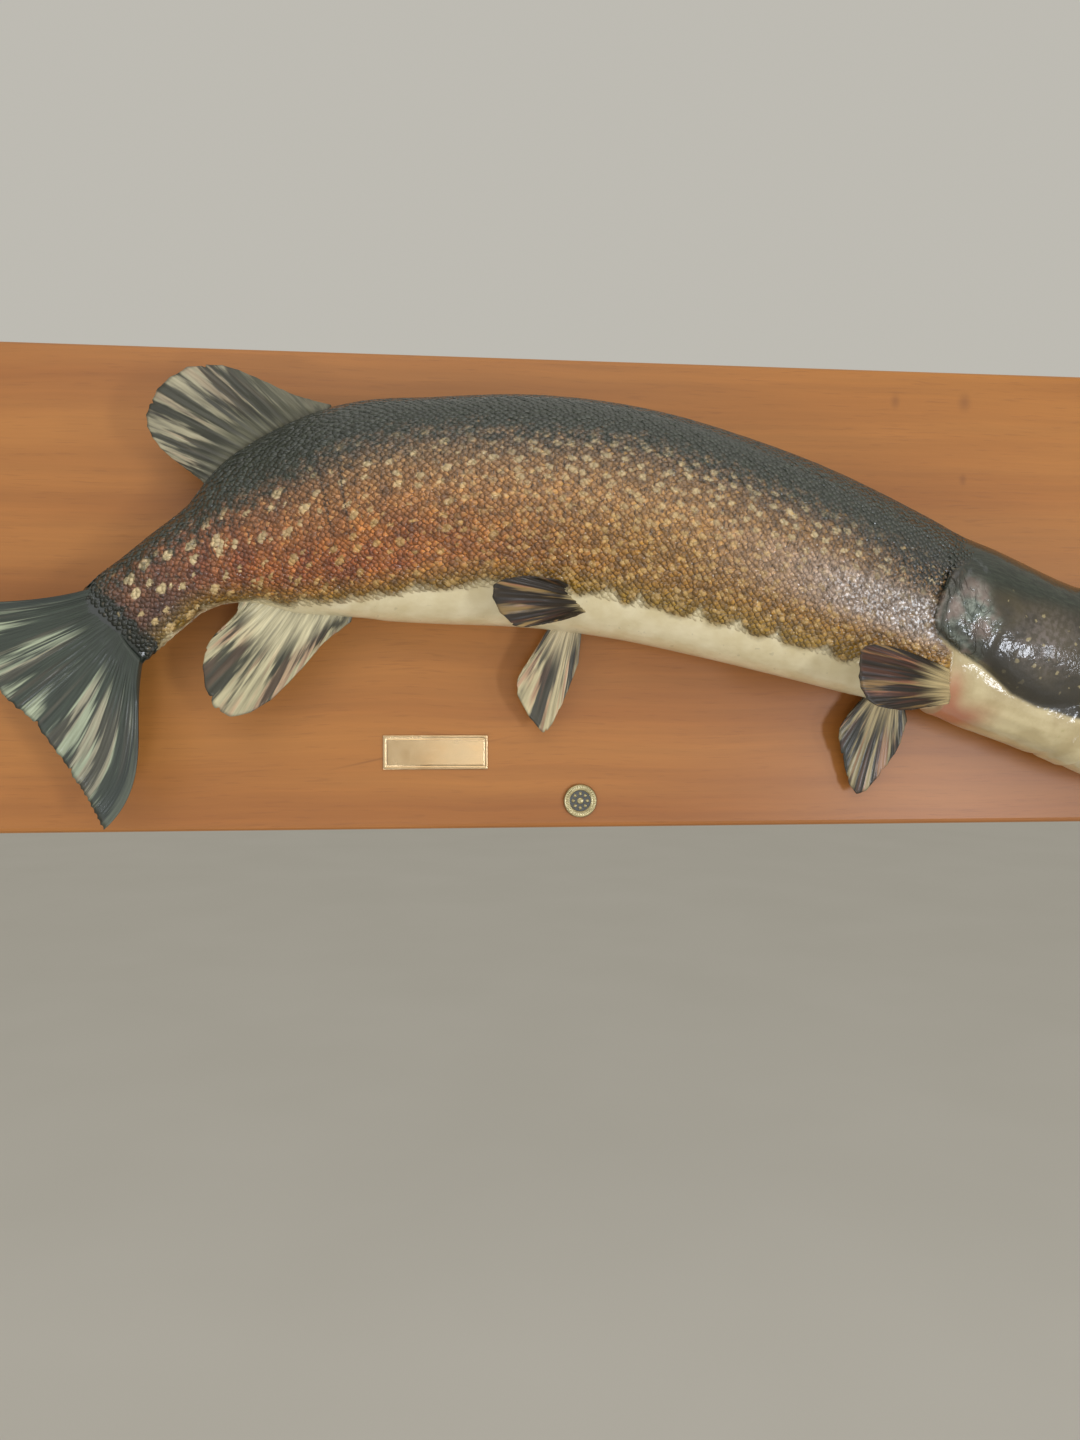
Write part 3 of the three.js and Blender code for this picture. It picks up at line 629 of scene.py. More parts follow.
def backPaint(add, at, paint):
    # dark back: strokes of the brush along the body, a soft border to the flank
    strokes = add("VectorMath", "MULTIPLY", at.lie, (0.10, 0.62, 0))  # 10 mm long and 1.6 mm wide
    strokes = add("TexNoise", Vector=strokes, Scale=1.0, Detail=3.0, Distortion=0.6)
    strokes = add("MapRange", strokes, 0.42, 0.78, 0.0, 0.9)
    colour = add("Mix", strokes, paint["back"], paint["backStroke"])
    ridge = add("MapRange", at.share, 0.0, 0.16, 0.75, 0.0)
    colour = add("Mix", ridge, colour, paint["ridge"])
    flank = at.back
    for grain, reach in ((at.medium, 14.0), (at.fine, 9.0)):
        wander = add("MapRange", grain, 0.2, 0.8, -reach, reach)
        flank = add("Math", "ADD", flank, wander)
    flank = add("MapRange", flank, -11.0, 15.0, interpolation_type="SMOOTHSTEP")
    return colour, flank


def flankPaint(add, at, paint):
    # brown above, tan in the middle, gold or rust below, a painted grey sheen with painted glints in dabs
    tan = add("MapRange", at.down, 0.0, 0.42)
    colour = add("Mix", tan, paint["upper"], paint["middle"])
    colour = add("Mix", at.gold, colour, paint["gold"])
    colour = add("Mix", at.veil, colour, paint["grey"])
    paintedGlint = add("MapRange", at.grey, 0.62, 0.98, 0.0, 0.85)
    dabbed = add("MapRange", at.fine, 0.53, 0.62)
    paintedGlint = add("Math", "MULTIPLY", paintedGlint, dabbed)
    colour = add("Mix", paintedGlint, colour, paint["paintedGlint"])
    low = add("MapRange", at.belly, -96.0, -34.0, 0.0, 0.92)
    rustShare = add("Math", "MULTIPLY", low, at.rust)
    rustColour = add("Mix", at.patches, paint["rust"], paint["rustPale"])
    colour = add("Mix", rustShare, colour, rustColour)
    stem = add("MapRange", at.s, 45.0, 130.0, 0.95, 0.0)
    under = add("MapRange", at.belly, -58.0, -14.0, 0.3, 1.0)
    stem = add("Math", "MULTIPLY", stem, under)
    colour = add("Mix", stem, colour, paint["stem"])
    rim = add("MapRange", at.belly, -20.0, -3.0, 0.0, 0.75)
    colour = add("Mix", rim, colour, paint["rim"])
    for grain, reach in ((at.medium, 0.42), (at.fine, 0.28)):
        shade = add("MapRange", grain, 0.34, 0.66, 1 - reach, 1 + reach)
        colour = add("Mix", 1.0, colour, shade, blend_type="MULTIPLY")
    return colour


def paleSpots(add, at):
    # spots in loose rows, wider than high, largest on the tail stem, worn at their edges, with small dots
    spotAt = add("VectorMath", "MULTIPLY", at.lie, bodyPaint["spotStep"])
    shift = add("TexNoise", Vector=at.lie, Scale=0.24, out=1)  # 4 mm wobbles
    shift = add("VectorMath", "SCALE", shift, Scale=0.34)
    spotAt = add("VectorMath", "ADD", spotAt, shift)
    spots, chance = (add("TexVoronoi", Vector=spotAt, Scale=1.0, Randomness=0.8, out=k,
                         voronoi_dimensions="2D")
                     for k in range(2))
    chance = add("SeparateXYZ", chance)
    size = add("MapRange", chance, 0.1, 0.95, 0.11, 0.27)
    tailSize = add("MapRange", at.s, 60.0, 420.0, 1.25, 0.8)
    size = add("Math", "MULTIPLY", size, tailSize)
    spots = add("Math", "SUBTRACT", size, spots)
    spots = add("MapRange", spots, -0.02, 0.10, interpolation_type="SMOOTHSTEP")
    fade = add("MapRange", at.s, 70.0, 170.0, 0.95, 0.66)
    thin = add("MapRange", at.s, 280.0, 580.0, 1.0, 0.28)
    inFlank = add("MapRange", at.back, -9.0, 4.0)
    for part in (fade, thin, inFlank):
        spots = add("Math", "MULTIPLY", spots, part)
    dotAt = add("VectorMath", "MULTIPLY", spotAt, bodyPaint["dotStep"])
    dots = add("TexVoronoi", Vector=dotAt, Scale=1.0, Randomness=0.75, voronoi_dimensions="2D")
    dots = add("MapRange", dots, 0.16, 0.28, 0.66, 0.0)
    onward = add("MapRange", at.s, 230.0, 380.0)
    for part in (onward, inFlank):
        dots = add("Math", "MULTIPLY", dots, part)
    spots = add("Math", "MAXIMUM", spots, dots)
    # the painted sheen covers the spots
    unveiled = add("Math", "SUBTRACT", 1.0, at.veil)
    return add("Math", "MULTIPLY", spots, unveiled)


def bellyBorder(add, at):
    # mm into the belly, whose border hangs in uneven scallops, |sin| of a wandering phase, softly dabbed
    drift = add("TexNoise", W=at.s, Scale=0.018, Detail=1.0, noise_dimensions="1D")  # 55 mm drifts
    drift = add("Math", "MULTIPLY", drift, 4.5)
    scallops = add("Math", "MULTIPLY", at.s, bodyPaint["scallop"])
    scallops = add("Math", "ADD", scallops, drift)
    scallops = add("Math", "SINE", scallops)
    scallops = add("Math", "ABSOLUTE", scallops)
    scallops = add("MapRange", scallops, 0.0, 1.0, 4.6, -4.2)
    deeper = add("MapRange", at.s, 280.0, 470.0, 0.45, 1.15)
    scallops = add("Math", "MULTIPLY", scallops, deeper)
    border = add("Math", "ADD", at.belly, scallops)
    for grain, reach in ((at.broad, 2.4), (at.fine, 0.5)):
        dab = add("MapRange", grain, 0.3, 0.7, -reach, reach)
        border = add("Math", "ADD", border, dab)
    return border


def crackShare(add, at, place, reach):
    # a crack in the varnish across the upper flank, at a place mm from the tail's root
    bent = add("MapRange", at.fine, 0.0, 1.0, -reach / 2, reach / 2)
    crack = add("Math", "ADD", at.s, bent)
    crack = add("Math", "SUBTRACT", crack, place)
    crack = add("Math", "ABSOLUTE", crack)
    crack = add("MapRange", crack, 0.3, 1.1, 0.8, 0.0)
    for edges in ((0.28, 0.34), (0.52, 0.7, 1.0, 0.0)):
        part = add("MapRange", at.share, *edges)
        crack = add("Math", "MULTIPLY", crack, part)
    return crack


def trunkColour(add):
    # paint of the trunk, for the skin and for the scales alike: slate back, brown to rust or gold flank
    # with rows of pale spots, cream belly with a lobed border, black dashes, cracks in the varnish
    paint = {key: toLinear(value) for key, value in bodyPaint.items() if isinstance(value, str)}
    at = readTrunk(add)
    backColour, flank = backPaint(add, at, paint)
    colour = flankPaint(add, at, paint)

    # short upright black dashes on the upper flank, thick scratches of the brush, then the spots
    dashes = add("VectorMath", "MULTIPLY", at.lie, (0.58, 0.17, 0))  # 1.7 mm wide and 6 mm high
    dashes = add("TexNoise", Vector=dashes, Scale=1.0, Detail=2.0)
    dashes = add("MapRange", dashes, 0.57, 0.67, 0.0, 0.8)
    high = add("MapRange", at.down, 0.35, 0.95, 1.0, 0.35)
    dashes = add("Math", "MULTIPLY", dashes, high)
    colour = add("Mix", dashes, colour, paint["dash"])
    spots = paleSpots(add, at)
    warm = add("MapRange", at.down, 0.2, 0.7)
    spotColour = add("Mix", warm, paint["spot"], paint["spotWarm"])
    colour = add("Mix", spots, colour, spotColour)
    colour = add("Mix", flank, backColour, colour)

    border = bellyBorder(add, at)
    edge = add("MapRange", border, -6.0, -1.0, 0.0, 0.5)
    colour = add("Mix", edge, colour, paint["edge"])
    border = add("MapRange", border, -4.2, 4.2, interpolation_type="SMOOTHSTEP")
    cream = add("Mix", at.patches, paint["cream"], paint["creamDark"])
    colour = add("Mix", border, colour, cream)
    for place, reach in bodyPaint["cracks"]:
        colour = add("Mix", crackShare(add, at, place, reach), colour, paint["crack"])

    # the smudge behind the gills breaks up into dabs; the tail's end is bare dark skin
    broken = add("MapRange", at.fine, 0.62, 0.46, 0.15, 1.1)
    smudge = add("Math", "MULTIPLY", at.smudge, broken)
    ragged = add("MapRange", at.medium, 0.3, 0.7, -0.35, 0.35)
    bare = add("Math", "ADD", at.bare, ragged)
    bare = add("MapRange", bare, 0.3, 0.62)
    for part, shade in ((smudge, "smudge"), (bare, "bare")):
        colour = add("Mix", part, colour, paint[shade])
    # under the painted sheen and under the smudge the scales' dark net and light crowns fade
    dimmed = add("MapRange", at.veil, 0.0, 1.0, 0.0, 0.6)
    covered = add("Math", "MAXIMUM", smudge, dimmed)
    clear = add("Math", "SUBTRACT", 1.0, covered)
    flank = add("Math", "MULTIPLY", flank, clear)
    return {"colour": colour, "border": border, "flank": flank, "back": backColour, "gold": at.gold,
            "spots": spots, "medium": at.medium, "along": at.s}


headPaint = {
    # the cheek's third colour is a lilac highlight painted on its bulge
    "cheek": "#29230f", "cheekPale": "#40371d", "cheekHighlight": "#71665f", "speck": "#a0926a",
    "cover": "#525b52", "coverPale": "#879085", "coverPink": "#8b776f", "line": "#20241d",
    # crease is painted shade under the cheek's edge
    "crease": "#1e190c", "throat": "#cdbd92", "throatDark": "#b7a57a", "blush": "#b5674a",
    "rim": "#3a3d33", "lining": "#b9876f", "liningPale": "#d8bf9f", "olive": "#8f8a3f",
}


def readHead(add):
    # what the head's paint is laid by: the shares kept on the skin's points, and two noises
    at = SimpleNamespace(place=add("TexCoord", out="Object"))
    marks, shares, glows = (add("Attribute", out="Vector", attribute_name=name)
                            for name in ("headMark", "headShare", "glow"))
    at.cream, at.blush, at.crease = (add("SeparateXYZ", marks, out=k) for k in range(3))
    at.head, at.slate, at.cover = (add("SeparateXYZ", shares, out=k) for k in range(3))
    # bloom = the cheek's painted highlight
    at.bloom, at.rim, at.lining = (add("SeparateXYZ", glows, out=k) for k in range(3))
    at.broad = add("TexNoise", Vector=at.place, Scale=48.0, Detail=4.0)  # 20 mm clouds
    at.fine = add("TexNoise", Vector=at.place, Scale=260.0, Detail=3.0)  # 4 mm flecks
    at.clouds = add("MapRange", at.broad, 0.38, 0.62)
    at.flecks = add("MapRange", at.fine, 0.40, 0.62)
    return at


def cheekPaint(add, at, paint):
    # olive cheek with pale specks and a painted lilac highlight on its bulge, broken by flecks
    colour = add("Mix", at.clouds, paint["cheek"], paint["cheekPale"])
    flecked = add("MapRange", at.flecks, 0.0, 1.0, 0.25, 0.9)
    bloom = add("Math", "MULTIPLY", at.bloom, flecked)
    colour = add("Mix", bloom, colour, paint["cheekHighlight"])
    bend = add("TexNoise", Vector=at.place, Scale=300.0, out=1)  # 3 mm wobbles
    bend = add("VectorMath", "SCALE", bend, Scale=0.004)
    speckAt = add("VectorMath", "ADD", at.place, bend)
    specks, chance = (add("TexVoronoi", Vector=speckAt, Scale=145.0, Randomness=1.0, out=k)  # 7 mm apart
                      for k in range(2))
    chance = add("SeparateXYZ", chance)
    chance = add("MapRange", chance, 0.15, 1.0, 0.0, 0.29)
    specks = add("Math", "SUBTRACT", chance, specks)
    specks = add("MapRange", specks, -0.02, 0.08, 0.0, 0.8)
    return add("Mix", specks, colour, paint["speck"]), specks


def coverPaint(add, at, paint):
    # grey gill cover with pink clouds, a few dark lines and a dark free edge; and the lines alone
    colour = add("Mix", at.flecks, paint["cover"], paint["coverPale"])
    pink = add("TexNoise", Vector=at.place, Scale=62.0, Detail=2.0)  # 16 mm clouds
    pink = add("MapRange", pink, 0.46, 0.62, 0.0, 0.8)
    colour = add("Mix", pink, colour, paint["coverPink"])
    lineAt = add("VectorMath", "MULTIPLY", at.place, (105.0, 40.0, 44.0))  # 10 mm apart, 23 mm high
    lines = add("TexNoise", Vector=lineAt, Scale=1.0, Detail=1.5, Distortion=0.9)
    lines = add("Math", "SUBTRACT", lines, 0.5)
    lines = add("Math", "ABSOLUTE", lines)
    lines = add("MapRange", lines, 0.0, 0.04, 0.4, 0.0)
    lines = add("Math", "MULTIPLY", lines, at.cover)
    faint = add("Math", "MULTIPLY", lines, 0.6)
    colour = add("Mix", faint, colour, paint["line"])
    return add("Mix", at.rim, colour, paint["rim"]), lines


def throatPaint(add, at, paint, specks):
    # cream throat with a blush, olive specks on the jaw
    colour = add("Mix", at.clouds, paint["throat"], paint["throatDark"])
    ahead = add("SeparateXYZ", at.place)
    ahead = add("MapRange", ahead, 0.33, 0.40, 0.0, 0.8)
    olive = add("Math", "MULTIPLY", specks, ahead)
    colour = add("Mix", olive, colour, paint["olive"])
    pink = add("Math", "MULTIPLY", at.blush, 0.85)
    return add("Mix", pink, colour, paint["blush"])


def headColour(add, trunkPart):
    # paint of the head over the trunk's, slate on top like the back, flesh in the mouth. It returns what
    # the bump reads too: the gill cover's share, its lines and the two noises
    paint = {key: toLinear(value) for key, value in headPaint.items()}
    at = readHead(add)
    cheek, specks = cheekPaint(add, at, paint)
    colour = add("Mix", at.slate, cheek, trunkPart["back"])
    lid, lines = coverPaint(add, at, paint)
    cover = at.cover
    for part in (at.slate, at.cream):
        part = add("Math", "SUBTRACT", 1.0, part)
        cover = add("Math", "MULTIPLY", cover, part)
    colour = add("Mix", cover, colour, lid)
    # painted shade along the crease, and the dark stain at the top of the gill opening
    dark = add("Math", "MULTIPLY", at.crease, 0.85)
    colour = add("Mix", dark, colour, paint["crease"])
    colour = add("Mix", at.cream, colour, throatPaint(add, at, paint, specks))
    colour = add("Mix", at.head, trunkPart["colour"], colour)
    flesh = add("Mix", at.broad, paint["lining"], paint["liningPale"])
    colour = add("Mix", at.lining, colour, flesh)
    return colour, cover, lines, at.fine, at.broad


def paintedSkin():
    # dried fish skin, airbrushed and varnished: matt pigment under a clear wet-looking coat, wrinkled on
    # the gill cover and smooth elsewhere
    material, add, shader = startMaterial("varnished painted fish skin", Roughness=0.5, IOR=1.45,
                                          Coat_Weight=0.8, Coat_Roughness=0.11, Coat_IOR=1.5)
    colour, cover, lines, fine, broad = headColour(add, trunkColour(add))
    place = add("TexCoord", out="Object")
    wrinkles = add("TexNoise", Vector=place, Scale=85.0, Detail=3.0, Distortion=0.6)  # 12 mm apart
    wrinkles = add("Math", "SUBTRACT", wrinkles, lines)
    wrinkles = add("Math", "MULTIPLY", wrinkles, cover)
    height = add("Math", "MULTIPLY", wrinkles, 2.4)
    soft = add("Math", "MULTIPLY", broad, 0.9)
    grain = add("Math", "MULTIPLY", fine, 0.35)
    for part in (soft, grain):
        height = add("Math", "ADD", height, part)
    colourAndBump(add, shader, colour, height, 0.7, 0.0012, "Coat Normal")
    return material


scalePaint = {"net": "#2a1d0b", "crown": "#c2943c"}  # dark in the gaps, rubbed gold on the crowns


def paintedScale():
    # the same paint on the raised scales: pigment gathers in the gaps, the crowns are rubbed lighter
    material, add, shader = startMaterial("varnished painted scales", Roughness=0.5, IOR=1.45,
                                          Coat_Weight=1.0, Coat_Roughness=0.13, Coat_IOR=1.5)
    paint = trunkColour(add)
    colour, flank = paint["colour"], paint["flank"]
    scaleAt = add("Attribute", out="Vector", attribute_name="scaleAt")
    across, down, tone = (add("SeparateXYZ", scaleAt, out=k) for k in range(3))
    across = add("Math", "POWER", across, 2.0)
    down = add("MapRange", down, 0.35, 1.0, 0.0, 1.0)
    down = add("Math", "POWER", down, 2.2)
    rim = add("Math", "ADD", across, down)
    painted = add("Math", "SUBTRACT", 1.0, paint["border"])
    flank = add("Math", "MULTIPLY", flank, painted)
    net = add("MapRange", rim, 0.40, 0.95, 0.0, 0.58)
    more = add("MapRange", paint["gold"], 0.0, 1.0, 0.9, 1.3)
    wear = add("MapRange", paint["medium"], 0.36, 0.64, 0.2, 1.2)
    netShare = add("MapRange", flank, 0.0, 1.0, 0.05, 1.0)
    covered = add("MapRange", paint["spots"], 0.0, 0.8, 1.0, 0.25)
    for part in (more, wear, netShare, covered):
        net = add("Math", "MULTIPLY", net, part)
    colour = add("Mix", net, colour, toLinear(scalePaint["net"]))
    crown = add("MapRange", rim, 0.0, 0.4, 1.0, 0.0)
    bright = add("MapRange", tone, 0.62, 1.0, 0.04, 0.46)
    onStem = add("MapRange", paint["along"], 50.0, 160.0, 0.2, 1.0)
    for part in (bright, flank, onStem):
        crown = add("Math", "MULTIPLY", crown, part)
    colour = add("Mix", crown, colour, toLinear(scalePaint["crown"]))
    reach = add("MapRange", flank, 0.0, 1.0, 0.06, 0.22)
    shade = add("MapRange", tone, 0.0, 1.0, -1.0, 0.8)
    shade = add("Math", "MULTIPLY", shade, reach)
    shade = add("Math", "ADD", shade, 1.0)
    colour = add("Mix", 1.0, colour, shade, blend_type="MULTIPLY")
    place = add("TexCoord", out="Object")
    wet = add("TexNoise", Vector=place, Scale=420.0, Detail=3.0)  # 2.4 mm ripples of the varnish
    colourAndBump(add, shader, colour, wet, 0.35, 0.0006, "Coat Normal")
    return material


fleshNodes = ["tail_stem", "trunk_rear", "trunk_middle", "trunk_front", "gill_cover_near",
              "gill_cover_far", "head", "throat", "lower_jaw"]


def buildSkin():
    # the whole hide as one surface, from the root of the tail to both lips and down into the mouth
    grid = skinGrid
    coarse = np.arange(grid["x"][0], grid["headFrom"], grid["trunkStep"])
    fine = np.arange(grid["headFrom"], grid["x"][1], grid["step"])
    axes = [np.concatenate([coarse, fine]), np.arange(*grid["y"], grid["step"]),
            np.arange(*grid["z"], grid["step"])]
    x, y, z = np.ix_(*axes)
    points, quads = surfaceNet(fishField(x, y, z), axes)
    points = settle(points)
    points[:, 1] = np.minimum(points[:, 1], boardSide)
    makePiece("fish_skin", points, [quads], [paintedSkin()], fleshNodes, values=skinValues(points))


buildSkin()

coat = {
    "across": 4.5, "along": 2.75,  # mm between scales round the body and between their rings
    "length": 8.4, "width": 5.5, "rise": 0.17, "sink": 0.55, "thickness": 0.24,
    "stand": 0.08, "bury": 0.63,  # mm they stand off the skin, and mm the faded ones go down into it
    "ringGrowth": 1.09,  # rings of nearly one girth have the same count, so that their scales stay in rows
    "from": 8.0,  # mm of the tail's root without scales
    "turn": 0.17, "sizeSpread": 0.13, "scatter": (0.55, 0.5),  # radians; share; mm along and round
    "small": ([0, 2.5, 6, 12, 14], [0.72, 0.85, 1, 1, 0.85]),  # size along the body
    "lift": ([0, 8, 11, 14], [1, 1, 0.85, 0.8]),  # how far they stand up
    "nape": 18.0, "ragged": 3.5,  # mm ahead of the gills where the last ones lie, and its unevenness
    "fadeRun": 34.0,  # mm over which they sink into the nape
    "boardGap": 2.2, "intoBelly": 8,  # mm kept clear of the board, mm that they reach into the pale belly
    "patch": 0.0027,  # size of a scale's patch on the map
}
# one scale from above, its front edge buried: outline points along, across and in height, the crown point,
# and the point along it that lies at its place in the coat
scaleOutline = {
    "along": (0, 0.05, 0.42, 0.74, 0.93, 1.0, 0.93, 0.74, 0.42),
    "across": (-0.3, 0.3, 0.5, 0.42, 0.22, 0, -0.22, -0.42, -0.5),
    "height": (-1, -1, -0.15, 0.55, 0.9, 1.0, 0.9, 0.55, -0.15),
    "crown": (0.6, 0.0, 0.95), "anchor": 0.62,
}


def ringScales():
    # rings of scales at even steps along the trunk; in each ring they stand at even steps of girth, and
    # each second ring is turned by half a step. It returns mm along the body and turns round it
    arc = np.arange(coat["from"], trunk["arc"][-1] - 2, coat["along"])
    half = np.interp(np.interp(arc, trunk["arc"], trunk["t"]), girthT, halfGirth)
    growth = math.log(coat["ringGrowth"])
    level = np.round(np.log(2 * half / coat["across"]) / growth)
    count = 2 * np.round(np.exp(level * growth) / 2).astype(int)
    ring = np.repeat(np.arange(len(arc)), count)
    order = np.arange(len(ring)) - np.repeat(np.cumsum(count) - count, count)
    turn = (order + 0.5 * (ring % 2)) / count[ring]  # once round the body
    turn = turn + coat["scatter"][1] * rng.standard_normal(len(ring)) / (2 * half[ring])
    return arc[ring] + coat["scatter"][0] * rng.standard_normal(len(ring)), turn % 1


def placeScales():
    # each scale's middle on the skin and its axes, from the tangents along and round the trunk. Scales on
    # the board, on the head and deep in the belly are left out, and those near them fade
    arc, turn = ringScales()
    t = np.interp(arc, trunk["arc"], trunk["t"])
    side = np.where(turn < 0.5, -1.0, 1.0)
    share = np.where(turn < 0.5, 2 * turn, 2 - 2 * turn)
    run = share * np.interp(t, girthT, halfGirth)
    rows = np.clip(t / girthT[1], 0, len(girthT) - 1.001).astype(int)
    angle = np.zeros(len(t))
    for row in np.unique(rows):
        mine = rows == row
        angle[mine] = np.interp(share[mine], girthRun[row] / halfGirth[row], girthAngle)
    angle = np.clip(angle, 0.012, math.pi - 0.012)
    centre = trunkPoint(t, angle, side)
    before, after = np.maximum(t - 0.02, 0), np.minimum(t + 0.02, trunk["t"][-1])
    tail = trunkPoint(before, angle, side) - trunkPoint(after, angle, side)  # towards the tail
    way = trunkPoint(t, angle + 0.01, side) - trunkPoint(t, angle - 0.01, side)  # round, towards the keel
    tail /= np.linalg.norm(tail, axis=1)[:, None]
    way /= np.linalg.norm(way, axis=1)[:, None]
    out = np.cross(way, tail) * side[:, None]
    middle = trunkPoint(t, math.pi / 2, 0)
    out *= np.sign((out * (centre - middle)).sum(1))[:, None]
    centre = settle(centre)
    top = napeAt(centre[:, 2])  # over the gills they sink into the nape, below they end at the slit
    gap = coat["nape"] * top - 1.0 - aheadOfGills(centre[:, 0], centre[:, 2])
    gap = gap + coat["ragged"] * top * rng.standard_normal(len(gap))
    inBelly = (share - np.interp(t, *paintLines["belly"])) * np.interp(t, girthT, halfGirth)
    offBoard = centre[:, 1] < boardSide - coat["boardGap"]
    keep = offBoard & (gap > 0) & (inBelly < coat["intoBelly"])
    fade = (1 - top * (1 - smooth(gap / coat["fadeRun"]))) * smooth((arc - coat["from"] + 2) / 14)
    fade = fade * (1 - smooth((inBelly + 6) / 14))
    return [v[keep] for v in (centre, tail, way, out, t, arc, run, turn, fade)]


def layScales():
    # every scale is a closed thin plate: its outline, a crown point and the outline again underneath
    centre, tail, way, out, t, arc, run, turn, fade = placeScales()
    n = len(centre)
    girth = np.interp(t, girthT, halfGirth)
    share = run / girth
    small = np.interp(t, *coat["small"]) * (0.8 + 0.2 * fade)
    spread = 1 + coat["sizeSpread"] * rng.standard_normal(n)
    length, width = coat["length"] * small * spread, coat["width"] * (0.5 + 0.5 * small) * spread
    flat = 1 - 0.6 * smooth((np.interp(t, *paintLines["back"]) - share + 0.03) / 0.08)  # smoother back
    flat = flat * np.interp(t, *coat["lift"]) * (1 - 0.3 * sheenAt(t, share))
    rise = flat * (1 + 0.2 * flat * (2 * rng.random(n) - 1)) * fade
    twist = coat["turn"] * flat * rng.standard_normal(n)
    tone = rng.random(n)
    across = np.cross(out, tail)
    forward = tail * np.cos(twist)[:, None] + across * np.sin(twist)[:, None]
    sideways = np.cross(out, forward)

    # points 0 to top - 1 are the outline, top is the crown and under onwards the outline's underside
    a, b, h = (np.array(scaleOutline[key], float) for key in ("along", "across", "height"))
    top, under = len(a), len(a) + 1
    h = np.where(h < 0, h * coat["sink"], h * coat["rise"])
    crownA, crownB, crownHigh = scaleOutline["crown"]
    a, b, h = np.append(a, crownA), np.append(b, crownB), np.append(h, coat["rise"] * crownHigh)
    a, b, h = (np.concatenate([v, v[:-1]]) for v in (a, b, h))
    high = h[None, :] * rise[:, None] + coat["stand"] - coat["bury"] * (1 - fade)[:, None] ** 3
    high[:, under:] -= coat["thickness"]
    shift = (a - scaleOutline["anchor"])[None, :] * length[:, None]
    wide = b[None, :] * width[:, None]
    points = (centre[:, None] + forward[:, None] * shift[..., None] + sideways[:, None] * wide[..., None]
              + out[:, None] * high[..., None])
    points[..., 1] = np.minimum(points[..., 1], boardSide)

    rim = np.arange(top)
    after = (rim + 1) % top
    crown = np.stack([rim, after, np.full(top, top)], 1)
    walls = np.stack([rim, rim + under, after + under, after], 1)
    bottom = (rim + under)[None, ::-1]
    normal = np.cross(points[:, 1] - points[:, 0], points[:, top] - points[:, 0])
    rightWay = (normal * out).sum(1) > 0  # whether the crown's faces already look outwards

    runs = run[:, None] + wide * np.sign((across * way).sum(1))[:, None]
    values = trunkPaint(t[:, None] + 0 * runs, runs, arc[:, None] - shift)
    values["scaleAt"] = np.stack(np.broadcast_arrays(2 * b[None], a[None], tone[:, None]), -1)
    rootU = 0.02 + 0.96 * arc / trunk["arc"][-1]
    bake = np.stack([rootU[:, None] + coat["patch"] * (a[None] - 0.5),
                     0.01 + 0.98 * turn[:, None] + coat["patch"] * b[None]], -1)
    material = paintedScale()
    cuts = np.quantile(t, [0, 0.25, 0.5, 0.75, 1])
    cuts[-1] += 1
    names = ("scales_tail", "scales_rear", "scales_middle", "scales_front")
    for name, start, end in zip(names, cuts, cuts[1:]):
        mine = (t >= start) & (t < end)
        base = np.arange(mine.sum())[:, None, None] * len(a)
        parts = []
        for shapeFaces in (crown, walls, bottom):
            block = shapeFaces[None] + base
            block = np.where(rightWay[mine][:, None, None], block, block[..., ::-1])
            parts.append(block.reshape(-1, shapeFaces.shape[1]))
        makePiece(name, points[mine], parts, [material],
                  values={key: value[mine].reshape(-1, 3) for key, value in values.items()},
                  maps={"OFBake": bake[mine].reshape(-1, 2)}, flat=(1, 2))


layScales()

